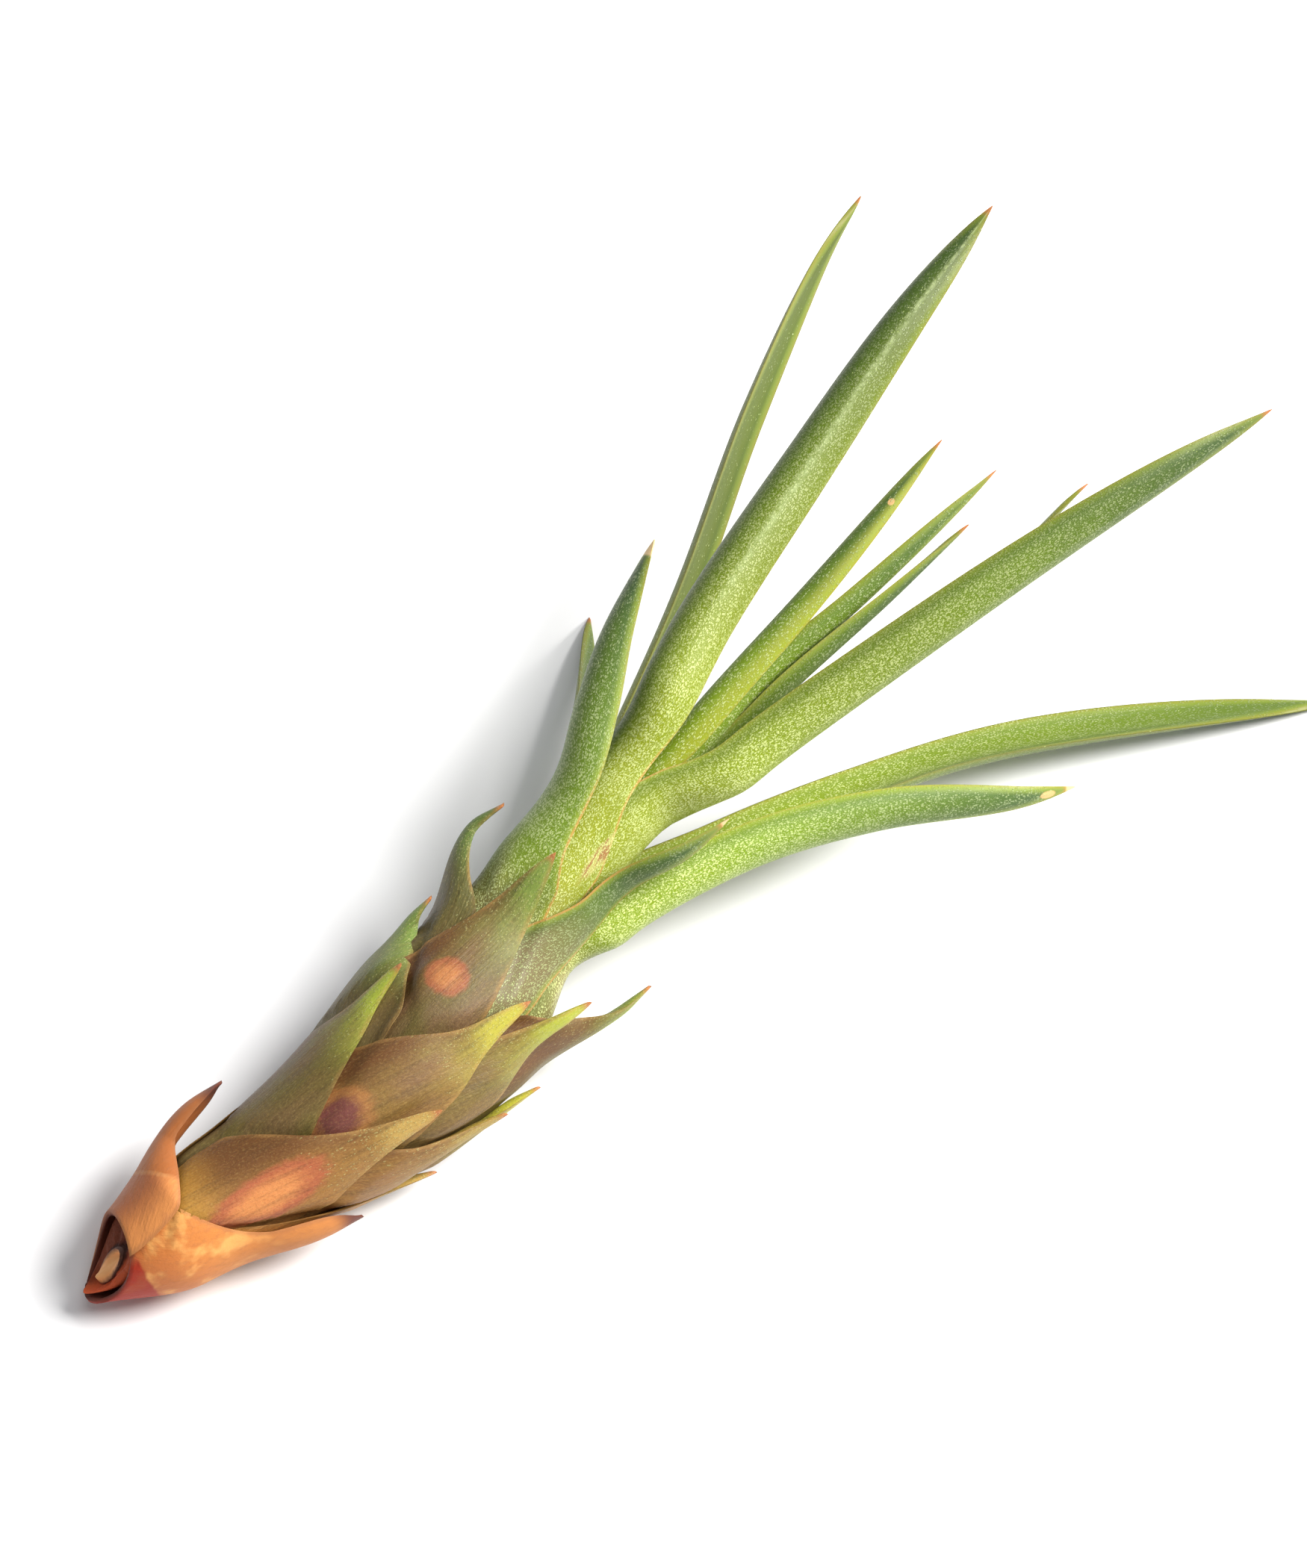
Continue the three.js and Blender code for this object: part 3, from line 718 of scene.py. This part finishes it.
def spread(n, place, label, roughly):
    """The distance from a mark's middle in half-lengths, made uneven."""
    ends = {0: n.attribute(label, True), 1: (FAR_OFF, FAR_OFF, FAR_OFF)}
    there = n.add("ShaderNodeVectorMath", ends, operation="DISTANCE").outputs["Value"]
    return n.times_plus(n.streaks(place, 1.6, 0.8, 4, 0.6), roughly, n.minus(there, roughly / 2))


blemish("leaf_big_upper", "leaf_papery", 53.6, -42, 3.6, 10)
blemish("leaf_arched_right", "leaf_mark", 90.75, -112, 0.8, 4)
blemish("leaf_thin_upper", "leaf_mark", 90.3, -24.6, 0.35, 3)
blemish("scale_10", "leaf_spot", 36.8, -2, 1.7, 12)
blemish("scale_02", "leaf_spot", 14.2, -41, 4.6, 18)
blemish("scale_06", "leaf_bruise", 22.1, -19, 2.4, 18)

# %% [markdown]
# ## Green leaves
# A long leaf is yellow-green where it leaves the plant, a fuller green in the middle and dark blue-green
# towards its dry orange point. Its margins are yellowish with a fine brown edge, its sheath is flushed brown
# near the bulb, and the hollow side is a brighter, cleaner green. Each of these is one layer of colour, placed
# by the distance to the tip or the margin. Painted shade darkens the flank that faces away from the light,
# and a painted highlight lies along the big upper leaf's fold. The flecks come last, because on the plant
# they lie on top.

# %% The green leaf's finish
def make_green_leaf():
    made, n, principled = new_material("green_leaf")
    place = n.use(LEAF_PLACE)["Place"]
    tip, edge, free, side, inside = (n.leaf(name) for name in ("tip", "edge", "free", "side", "inside"))
    patchy = n.streaks(place, 0.5, 0.2)
    uneven = n.times_plus(patchy, 10, n.minus(tip, 5))
    flesh = n.ramp(uneven, 0, 70, [
        (0, (0.05, 0.08, 0.035)), (6, (0.05, 0.088, 0.024)), (14, (0.075, 0.125, 0.014)),
        (28, (0.125, 0.195, 0.01)), (50, (0.175, 0.235, 0.01)), (68, (0.21, 0.24, 0.016)),
    ])
    flushed = n.between(n.times_plus(patchy, 5, n.leaf("station")), 53.5, 44.5)
    # Painted shade: the flank away from the light is darker, and the other margin a little.
    shade = n.between(n.minus(side, n.leaf("shade")), 0, 0.55)
    shaded_flanks = n.arithmetic("MAXIMUM", shade, n.times(n.between(side, -0.6, -0.95), 0.4))
    golden = n.times(n.leaf("gold"), n.between(side, 0.1, -0.6))
    line = n.times(n.between(edge, 0.3, 0.1), n.mix(n.between(free, 0.9, 0.3), 0.15, 0.75))
    papery = n.between(spread(n, place, "leaf_papery", 0.8), 1.1, 0.6)
    veined = n.between(n.streaks(place, 3.5, 0.5), 0.5, 0.6)
    scar = n.between(spread(n, place, "leaf_mark", 0.4), 1.1, 0.7)
    dead = n.between(n.minus(tip, n.leaf("dead")), 0.1, -0.2)
    flesh = n.layers(
        flesh,
        (inside, (0.14, 0.21, 0.012), 0.5),
        (flushed, (0.16, 0.105, 0.055), 0.8),
        (n.leaf("dry"), (0.07, 0.085, 0.008)),
        # painted shade on the flank away from the light
        (shaded_flanks, (0.05, 0.095, 0.006), 0.65),
        (golden, (0.32, 0.3, 0.012)),
        (n.between(edge, 0.9, 0.2), (0.3, 0.36, 0.04), 0.4),
        (line, (0.42, 0.2, 0.05)),
        (papery, (0.42, 0.38, 0.13), 0.7),
        (n.times(papery, veined), (0.26, 0.13, 0.045)),
        (scar, (0.5, 0.3, 0.12)),
        (n.between(tip, 1.5, 0.4), (0.42, 0.15, 0.05)),
        (dead, (0.55, 0.4, 0.2)),
    )

    amount = n.times(n.between(tip, 0.8, 4), n.mix(n.between(tip, 4, 26), 0.4, 0.92))
    amount = n.times(amount, n.mix(n.leaf("clean"), 1, 0.1))
    amount = n.times(amount, n.mix(inside, 1, 0.6))
    coarse = n.use(FLECKS, {"Place": place, "Size": 0.15, "Amount": amount})
    fine = n.use(FLECKS, {"Place": place, "Size": 0.095, "Amount": amount})
    mask = n.arithmetic("MAXIMUM", coarse["Mask"], n.times(fine["Mask"], 0.5))
    # The flecks are dimmer in the painted shade.
    shown = n.times(mask, n.mix(shaded_flanks, 0.6, 0.22))
    silvery = n.blend(n.between(tip, 4, 45), (0.26, 0.32, 0.15), (0.64, 0.7, 0.29))
    # A pale, broken line along the fold: partly a pale midrib, partly a painted highlight where the fold meets
    # the light.
    fold_highlight = n.arithmetic("ABSOLUTE", n.minus(side, n.leaf("fold_highlight")))
    fold_highlight = n.times(n.between(fold_highlight, 0.16, 0), n.between(tip, 48, 34))
    broken = n.mix(n.between(n.streaks(place, 2, 1.4), 0.35, 0.65), 0.1, 0.4)
    colour = n.layers(flesh, (shown, silvery), (n.times(fold_highlight, broken), (0.62, 0.72, 0.36)))
    lightness = n.mix(n.between(tip, 34, 62), n.leaf("light"), 1.22)
    colour = n.add("ShaderNodeHueSaturation", {"Color": colour, "Value": lightness}).outputs[0]
    ribs = n.use(RIBS, {"Place": place})["Height"]
    n.feed(principled, {
        "Base Color": colour, "Roughness": n.times_plus(mask, -0.1, 0.46), "Specular IOR Level": 0.28,
        "Normal": n.relief((ribs, 0.00012, 0.5), (mask, 0.00005, 0.8)),
        "Subsurface Weight": 0.08, "Subsurface Radius": (0.3, 0.5, 0.1), "Subsurface Scale": 0.0006,
    })
    return made


GREEN = make_green_leaf()
print(GREEN.name, "has", len(GREEN.node_tree.nodes), "nodes")

# %% [markdown]
# ## Bulb scales
# The scales of the bulb are smoother. They run from tan near the butt to olive and purplish brown on the
# belly, with yellow-green points, a brownish margin and few silver flecks. Three carry old blemishes: two
# orange spots and a bruise. One finish serves them all, and each leaf's own dryness and flush turn it from
# tan to green.

# %% The bulb scale's finish
def make_bulb_scale():
    made, n, principled = new_material("bulb_scale")
    place = n.use(LEAF_PLACE)["Place"]
    tip, edge, station, dry, flush = (n.leaf(name) for name in ("tip", "edge", "station", "dry", "flush"))
    patchy = n.streaks(place, 0.35, 0.18)
    dryness = n.times_plus(patchy, 0.4, n.minus(dry, 0.2))
    flesh = n.ramp(dryness, 0, 1, [
        (0, (0.1, 0.08, 0.022)), (0.3, (0.135, 0.1, 0.022)), (0.6, (0.25, 0.13, 0.03)),
        (1, (0.42, 0.16, 0.035)),
    ])
    purple = n.between(n.streaks(place, 0.3, 0.15, 2), 0.35, 0.65)
    point = n.between(n.times_plus(patchy, 6, tip), 15, 5)
    green = n.ramp(dry, 0, 1, [
        (0, (0.09, 0.15, 0.03)), (0.15, (0.22, 0.31, 0.06)), (0.3, (0.38, 0.44, 0.03)),
        (0.6, (0.44, 0.36, 0.05)), (0.75, (0.3, 0.18, 0.04)), (1, (0.5, 0.3, 0.06)),
    ])
    withered = n.times(n.between(tip, 6.5, 3), n.between(dry, 0.7, 0.74))
    shaded = n.between(n.times_plus(patchy, 3, n.leaf("across")), 1.4, 4.5)
    shaded = n.times(shaded, n.between(dry, 0.88, 0.8))
    golden = n.times(n.between(station, 13, 8), n.between(dry, 0.4, 0.7))
    border = n.times(n.between(edge, 0.55, 0.08), n.between(patchy, 0.35, 0.6))
    spot = spread(n, place, "leaf_spot", 0.45)
    rim = n.blend(dry, (0.24, 0.08, 0.03), (0.42, 0.11, 0.045))
    inner = n.blend(dry, (0.32, 0.12, 0.038), (0.66, 0.25, 0.078))
    bruise = spread(n, place, "leaf_bruise", 0.6)
    grain = n.streaks(place, 7, 3.5, 4, 0.7)
    veins = n.streaks(place, 2.6, 0.12, 3, 0.6)
    dark = n.arithmetic("ADD", n.between(grain, 0.46, 0.7), n.between(veins, 0.45, 0.7))
    flesh = n.layers(
        flesh,
        (n.times(purple, flush), (0.16, 0.08, 0.042)),
        (point, green),
        (withered, (0.5, 0.33, 0.09), 0.8),
        (shaded, (0.11, 0.04, 0.011), 0.85),
        (golden, (0.5, 0.25, 0.035), 0.65),
        (border, (0.36, 0.2, 0.06), 0.5),
        (n.between(spot, 1.3, 0.95), rim),
        (n.between(spot, 1, 0.35), inner),
        (n.between(bruise, 1.4, 0.95), (0.42, 0.17, 0.05), 0.6),
        (n.between(bruise, 1, 0.5), (0.15, 0.04, 0.04), 0.9),
        (n.between(tip, 1.2, 0.3), (0.45, 0.17, 0.06)),
        (dark, (0.055, 0.03, 0.01), 0.28),
        (n.between(grain, 0.5, 0.3), (0.5, 0.36, 0.12), 0.2),
    )

    amount = n.times(n.between(tip, 12, 2), 0.45)
    flecks = n.use(FLECKS, {"Place": place, "Size": 0.13, "Amount": amount})["Mask"]
    ribs = n.use(RIBS, {"Place": place})["Height"]
    colour = n.paint(flesh, flecks, (0.5, 0.5, 0.2), 0.3)
    n.feed(principled, {
        "Base Color": colour, "Roughness": n.times_plus(patchy, 0.2, 0.38), "Specular IOR Level": 0.3,
        "Normal": n.relief((ribs, 0.0002, 0.6), (grain, 0.00007, 0.6), (flecks, 0.00004, 0.6)),
        "Subsurface Weight": 0.1, "Subsurface Radius": (0.6, 0.3, 0.1), "Subsurface Scale": 0.0008,
    })
    return made


BULB = make_bulb_scale()
print(BULB.name, "has", len(BULB.node_tree.nodes), "nodes")

# %% [markdown]
# ## Dry scales and the cut butt
# The two lowest scales are dead and dry, orange-tan like thin bark, and redder where they were cut. Inside
# them the hollow butt is painted dark brown, partly its own colour and partly painted shade, and the rind's
# top and its ring by the stub are painted darker as painted shade. The stem's cut end shows pale pith with a
# dark rim. The stem and the torn rind round it are small closed meshes that follow the slanting cut.

# %% The dry scale's finish
def make_dry_scale():
    made, n, principled = new_material("dry_scale")
    place = n.use(LEAF_PLACE)["Place"]
    tip, edge, station, angle, flush = (n.leaf(name) for name in ("tip", "edge", "station", "angle", "flush"))
    patchy = n.streaks(place, 0.5, 0.3, 4)
    where = n.times_plus(patchy, 4, n.minus(station, 2))
    flesh = n.ramp(where, -2, 20, [
        (-2, (0.3, 0.05, 0.02)), (2.2, (0.42, 0.09, 0.03)), (3.6, (0.5, 0.15, 0.036)), (9, (0.56, 0.2, 0.044)),
        (13, (0.46, 0.165, 0.042)), (20, (0.52, 0.2, 0.05)),
    ])
    uneven = n.times_plus(patchy, 0.8, station)
    crooked = n.times_plus(angle, 0.029, n.minus(uneven, 1.3))
    left = n.between(flush, 0, 0.5)
    below = n.times(n.between(crooked, 8.3, 7.7), left)
    crease = n.between(n.arithmetic("ABSOLUTE", n.minus(crooked, 8.1)), 0.3, 0.05)
    crease = n.times(n.times(crease, left), n.between(patchy, 0.3, 0.65))
    fibres = n.streaks(place, 2.2, 1.1, 5, 0.7)
    pale = n.between(n.streaks(place, 0.45, 0.3), 0.5, 0.66)
    pale = n.times(pale, n.between(n.times_plus(flush, 20, station), 15, 8))
    stain = n.times(n.between(uneven, 3.8, 3.45), n.between(angle, -26, -42))
    flesh = n.layers(
        flesh,
        (n.arithmetic("MULTIPLY", flush, 1.4, clamp=True), (0.33, 0.1, 0.026)),
        (below, (0.4, 0.13, 0.06), 0.4),
        (n.times(below, n.between(edge, 4, 0.5)), (0.62, 0.24, 0.065), 0.85),
        (crease, (0.7, 0.38, 0.15), 0.35),
        (n.between(fibres, 0.45, 0.7), (0.36, 0.13, 0.045), 0.4),
        (pale, (0.88, 0.47, 0.14), 0.6),
        (n.between(edge, 0.5, 0.1), (0.3, 0.12, 0.045), 0.5),
        (n.between(tip, 2.8, 0.8), (0.13, 0.04, 0.025)),
        (stain, (0.34, 0.018, 0.005), 0.9),
        # deep in the hollow butt: dark brown, partly its own colour, partly painted shade
        (n.times(n.leaf("inside"), n.between(station, 9, 4.5)), (0.14, 0.03, 0.014)),
    )
    ribs = n.use(RIBS, {"Place": place})["Height"]
    n.feed(principled, {
        "Base Color": flesh, "Roughness": n.times_plus(fibres, 0.3, 0.42), "Specular IOR Level": 0.3,
        "Normal": n.relief((ribs, 0.00015, 0.4), (fibres, 0.00012, 0.5)),
    })
    return made


DRY = make_dry_scale()
print(DRY.name, "has", len(DRY.node_tree.nodes), "nodes")

# %% The torn rind inside the butt
RIND_SIDES, RIND_RINGS = 96, 12
RIND_THICKNESS = 1
RIND_RECESS = 0.35  # how far it lies back from the cut on the left, in millimetres
RIND_DEEPEST = 1.3  # and at the top


def rind_piece():
    """A closed ring of tissue between the stub and the dry sheath, deep above and shallow at the right."""
    angles = np.linspace(0, 360, RIND_SIDES, endpoint=False)
    shares = np.linspace(0, 1, RIND_RINGS)
    rightness = (1 - np.sin(np.radians(angles + 10))) / 2
    topness = np.exp(-((wrapped(angles - 12) / 42) ** 2))
    recess = mix(RIND_RECESS * (1 - step(rightness, 0.4, 0.9)), RIND_DEEPEST, topness)
    lumps = 0.12 * np.sin(np.radians(7 * angles)) + 0.08 * np.sin(np.radians(13 * angles + 40))
    layers = []
    for back, order in ((0, shares), (RIND_THICKNESS, shares[::-1])):
        for share in order:
            wavy = lumps * math.sin(math.pi * share) + 0.35 * math.sin(2 * math.pi * share) * rightness
            station = cut_station(angles, mix(STUB_SPREAD, CUT_SPREAD, share))
            station = station + recess * share**0.5 + wavy + back
            outer = bulb_radius(station) - 2 * LAYER
            layers.append(round_the_stem(station, angles, mix(STUB_RADIUS - 0.1, outer, share)))
    points = np.stack(layers, axis=1).reshape(-1, 3)
    around = 2 * RIND_RINGS
    faces = [(a, b, c, d) for a, d, c, b in ring_faces(RIND_SIDES, around, joined=True)]
    piece = mesh_piece("butt_rind", points, faces)
    set_attribute(piece.data, "rind_right", np.repeat(rightness, around))
    set_attribute(piece.data, "rind_top", np.repeat(topness, around))
    set_attribute(piece.data, "rind_out", np.tile(np.r_[shares, shares[::-1]], RIND_SIDES))
    return piece


def make_rind():
    made, n, principled = new_material("torn_rind")
    grain = n.noise(n.add("ShaderNodeTexCoord").outputs["Object"], 1800, 4, 0.6)
    flesh = n.ramp(n.times_plus(grain, 0.3, n.minus(n.attribute("rind_right"), 0.15)), 0, 1, [
        (0, (0.17, 0.04, 0.017)), (0.45, (0.22, 0.045, 0.018)), (0.68, (0.42, 0.08, 0.026)),
        (1, (0.55, 0.09, 0.03)),
    ])
    # Painted shade: darker at the top, where the rind lies deepest, and nearly black in the ring by the stub.
    flesh = n.paint(flesh, n.attribute("rind_top"), (0.14, 0.03, 0.015), 0.7)
    near = n.between(n.times_plus(grain, 0.2, n.attribute("rind_out")), 0.36, 0.18)
    n.feed(principled, {
        "Base Color": n.paint(flesh, near, (0.05, 0.014, 0.008)), "Roughness": n.times_plus(grain, 0.3, 0.55),
        "Normal": n.relief((grain, 0.00025, 0.7)), "Specular IOR Level": 0.12,
    })
    return made


rind = rind_piece()
rind.data.materials.append(make_rind())
print("rind:", len(rind.data.polygons), "faces")

# %% The stem and its finish
PITH_SHARES = (0.25, 0.5, 0.72, 0.88)  # rings on the cut end, as shares of the stub's radius
PITH_DISH = 0.12
STEM_RINGS, STEM_SIDES = 60, 48
GROWING_RADIUS = 0.5
BARK_RINGS = 5  # the ring number grows from 0 in the pith to 1 at the rim, and by this much to the top


def stem_piece():
    angles = np.linspace(0, 360, STEM_SIDES, endpoint=False)
    start = cut_station(angles, STUB_SPREAD)
    shares = np.linspace(0, 1, STEM_RINGS)
    points = []
    for inward in PITH_SHARES:
        radius = np.full(STEM_SIDES, STUB_RADIUS * inward)
        points.append(round_the_stem(start - PITH_DISH * (1 - inward**2), angles, radius))
    for share in shares:
        radius = mix(mix(STUB_RADIUS, STEM_RADIUS, step(share, 0, 0.12)), GROWING_RADIUS, step(share, 0.6, 0.9))
        points.append(round_the_stem(mix(start, STEM_TOP, share), angles, np.full(STEM_SIDES, radius)))
    faces = ring_faces(len(points), STEM_SIDES)
    last = (len(points) - 1) * STEM_SIDES
    points = np.vstack([*points, stem_frame(CUT_STATION - PITH_DISH)[0], stem_frame(STEM_TOP)[0]])
    butt, top = len(points) - 2, len(points) - 1
    for i in range(STEM_SIDES):
        following = (i + 1) % STEM_SIDES
        faces += [(butt, i, following), (top, last + following, last + i)]
    piece = mesh_piece("stem_fine", points, faces)
    rings = np.repeat([*PITH_SHARES, *(1 + BARK_RINGS * shares)], STEM_SIDES)
    set_attribute(piece.data, "stem_ring", np.append(rings, [0, 1 + BARK_RINGS]))
    return piece


def make_stem_wood():
    made, n, principled = new_material("stem_wood")
    grain = n.noise(n.add("ShaderNodeTexCoord").outputs["Object"], 2600, 4, 0.6)
    uneven = n.times_plus(grain, 0.3, n.minus(n.attribute("stem_ring"), 0.15))
    wood = n.ramp(uneven, 0, 1.5, [
        (0, (0.98, 0.5, 0.2)), (0.6, (0.88, 0.38, 0.13)), (0.85, (0.4, 0.16, 0.06)), (1, (0.1, 0.03, 0.015)),
        (1.5, (0.07, 0.02, 0.01)),
    ])
    n.feed(principled, {
        "Base Color": wood, "Roughness": n.times_plus(grain, 0.3, 0.5),
        "Normal": n.relief((grain, 0.0001, 0.6)),
    })
    return made


stem = stem_piece()
stem.data.materials.append(make_stem_wood())
print("stem:", len(stem.data.polygons), "faces")

# %% [markdown]
# ## Silver scales in relief
# On the blades some silver scales also stand up at their edges, which makes the fuzzy outline and the
# sparkle. Hair could do that, but the export drops it. So Geometry Nodes scatter hundreds of tiny lozenges
# over each blade and turn each one along the leaf. A seed keeps the scatter the same on every run, and the
# copies are realized into a plain mesh.

# %% A geometry tree that scatters lozenges
def make_scatter():
    tree = bpy.data.node_groups.new("scatter silver scales", "GeometryNodeTree")
    n, face = Nodes(tree), tree.interface
    for label, kind, value in (
        ("Leaf", "Geometry", None), ("Spacing", "Float", 0.0002), ("Share", "Float", 1),
        ("Length", "Float", 0.00022), ("Width", "Float", 0.00009), ("Seed", "Int", 1),
        ("Finish", "Material", None),
    ):
        made = face.new_socket(label, in_out="INPUT", socket_type="NodeSocket" + kind)
        if value is not None:
            made.default_value = value
    face.new_socket("Scales", in_out="OUTPUT", socket_type="NodeSocketGeometry")
    given = tree.nodes.new("NodeGroupInput").outputs

    def stored(name, kind):
        made = n.add("GeometryNodeInputNamedAttribute", {"Name": name}, data_type=kind)
        return made.outputs["Attribute"]

    def random(kind, low, high):
        limits = {"Min": low, "Max": high, "Seed": given["Seed"]}
        return n.add("FunctionNodeRandomValue", limits, data_type=kind).outputs

    scattered = n.add("GeometryNodeDistributePointsOnFaces", {
        "Mesh": given["Leaf"], "Distance Min": given["Spacing"], "Density Max": 4e7, "Seed": given["Seed"],
        "Density Factor": n.times(stored("silver", "FLOAT"), given["Share"]),
    }, distribute_method="POISSON").outputs
    along = n.add("FunctionNodeAlignRotationToVector", {
        "Rotation": scattered["Rotation"], "Vector": stored("growth", "FLOAT_VECTOR"),
    }, axis="Y", pivot_axis="Z")
    swing = random("FLOAT_VECTOR", (0.15, -0.25, -0.6), (0.6, 0.25, 0.6))["Value"]
    turned = {"Rotation": along.outputs[0], "Rotate By": swing}
    tilted = n.add("FunctionNodeRotateRotation", turned, rotation_space="LOCAL")
    lozenge = n.add("GeometryNodeMeshCircle", {"Vertices": 4, "Radius": 0.5}, fill_type="NGON")
    form = n.add("ShaderNodeCombineXYZ", {"X": given["Width"], "Y": given["Length"], "Z": 1})
    shaped = n.add("GeometryNodeTransform", {"Geometry": lozenge.outputs["Mesh"], "Scale": form.outputs[0]})
    copies = n.add("GeometryNodeInstanceOnPoints", {
        "Points": scattered["Points"], "Instance": shaped.outputs[0], "Rotation": tilted.outputs[0],
        "Scale": random("FLOAT", 0.6, 1.25)[1],
    })
    real = n.add("GeometryNodeRealizeInstances", {"Geometry": copies.outputs[0]})
    painted = n.add("GeometryNodeSetMaterial", {"Geometry": real.outputs[0], "Material": given["Finish"]})
    n.feed(tree.nodes.new("NodeGroupOutput"), {"Scales": painted.outputs[0]})
    return tree


# %% The silver finish
def make_silver():
    made, n, principled = new_material("silver_scale")
    varied = n.noise(n.add("ShaderNodeTexCoord").outputs["Object"], 900, 2)
    stops = [(0.3, (0.2, 0.28, 0.07)), (0.5, (0.36, 0.44, 0.14)), (0.7, (0.52, 0.6, 0.26))]
    colour = n.ramp(varied, 0.3, 0.7, stops)
    n.feed(principled, {"Base Color": colour, "Roughness": 0.4, "Specular IOR Level": 0.6})
    return made


# %% Scatter them over the blades
SCATTER = make_scatter()
SILVER = make_silver()
IDENTIFIERS = {item.name: item.identifier for item in SCATTER.interface.items_tree if item.in_out == "INPUT"}
FULL_SHARE = 0.35  # share of the places for a lozenge that are taken on a leaf that isn't clean


def silver_scales(leaf):
    mesh = pieces[leaf["name"]].data
    tip, inside, free, side = leaf_facts(mesh, ("tip", "inside", "free", "side"))
    shown = step(tip, 0.5, 4) * mix(0.4, 1, step(tip, 4, 26)) * (1 - 0.6 * inside) * (0.15 + 0.85 * free)
    # Fewer lozenges stand on the flank that the green finish paints in shade, so it sparkles less there.
    set_attribute(mesh, "silver", shown * (1 - 0.75 * step(side - leaf["shade"], 0, 0.55)))
    holder = new_object("holder", mesh)
    modifier = holder.modifiers.new("scatter", "NODES")
    modifier.node_group = SCATTER
    share = FULL_SHARE * (1 - 0.8 * leaf["clean"])
    for label, value in (("Share", share), ("Seed", leaf["rank"] + 1), ("Finish", SILVER)):
        modifier[IDENTIFIERS[label]] = value
    bpy.context.view_layer.update()
    evaluated = holder.evaluated_get(bpy.context.evaluated_depsgraph_get())
    scales = bpy.data.meshes.new_from_object(evaluated)
    bpy.data.objects.remove(holder)
    return new_object(leaf["name"] + "_silver", scales)


silver = [silver_scales(leaf) for leaf in LEAVES if not leaf["path"]]
print("silver scales:", sum(len(piece.data.polygons) for piece in silver))

# %% [markdown]
# ## Finishes and bodies
# Each fine leaf takes its finish, rides with its body and hides the solid of the fixed model that it stands
# for. The torn rind and the silver scales replace nothing, and ride along.

# %% Finishes and bodies
for leaf in LEAVES:
    piece = pieces[leaf["name"]]
    finish, slot = (BULB, "bulb_scale") if leaf["path"] else (GREEN, "green_leaf")
    if leaf["cut"]:
        finish, slot = DRY, "dry_scale"
    piece.data.materials.append(finish)
    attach(piece, "root")
    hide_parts(leaf["name"])
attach(stem, "root")
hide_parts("stem")
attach(rind, "root")
for piece in silver:
    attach(piece, "root")
print("dressed", len(LEAVES) + 1, "nodes")

# %% [markdown]
# ## Floor, light and camera
# The plant lies on a white sweep under one broad, soft light from the right, with bright surroundings, so
# its shadow is a faint grey. The camera looks steeply down at it from its right-hand side. A long lens keeps
# the near and far leaves in proportion, as the photograph does.

# %% The floor
SWEEP = 3  # half the floor's side, in metres
corners = [(-SWEEP, -SWEEP, 0), (SWEEP, -SWEEP, 0), (SWEEP, SWEEP, 0), (-SWEEP, SWEEP, 0)]
floor = new_object("floor", bpy.data.meshes.new("floor"))
floor.data.from_pydata(corners, [], [(0, 1, 2, 3)])
white, n, principled = new_material("white_sweep")
n.feed(principled, {"Base Color": (0.86, 0.86, 0.87, 1), "Roughness": 0.9})
floor.data.materials.append(white)

# %% Camera
PIXEL = 0.062  # millimetres that one pixel of the photo covers
FRAME_HEIGHT = 2100 * PIXEL * MM
AZIMUTH = math.radians(-46)
ELEVATION = math.radians(60)
TARGET = (SHIFT + np.array([0, 0, 12])) * MM
LENS = 100
SENSOR = 36

right = np.array([math.cos(AZIMUTH), math.sin(AZIMUTH), 0])
away = np.array([-math.sin(AZIMUTH), math.cos(AZIMUTH), 0])
back = UP * math.sin(ELEVATION) - away * math.cos(ELEVATION)


def look(thing, direction, distance):
    """Puts a camera or a lamp that far from the plant in that direction, and turns it to the plant."""
    thing.location = TARGET + direction * distance
    thing.rotation_euler = Vector(-direction).to_track_quat("-Z", "Y").to_euler()


camera = new_object("camera", bpy.data.cameras.new("camera"))
camera.data.lens = LENS
camera.data.sensor_width = SENSOR
camera.data.clip_start = 0.01
look(camera, back, FRAME_HEIGHT / SENSOR * LENS)
bpy.context.scene.camera = camera
print("camera", [round(value, 3) for value in camera.location])

# %% Light
def area_light(name, direction, distance, size, power, colour):
    lamp = new_object(name, bpy.data.lights.new(name, "AREA"))
    lamp.data.shape = "DISK"
    lamp.data.size = size
    lamp.data.energy = power
    lamp.data.color = colour
    look(lamp, unit(direction), distance)


area_light("key", right * 0.8 + away * 0.1 + UP * 0.85, 0.6, 0.35, 8.6, (1, 0.985, 0.96))
area_light("top", UP + right * 0.2, 0.7, 0.5, 1.2, (0.97, 0.985, 1))
world = bpy.data.worlds.new("surroundings")
bpy.context.scene.world = world
world.use_nodes = True
background = world.node_tree.nodes["Background"]
Nodes(world.node_tree).feed(background, {"Color": (0.97, 0.985, 1, 1), "Strength": 0.29})
bpy.context.scene.view_settings.view_transform = "Standard"
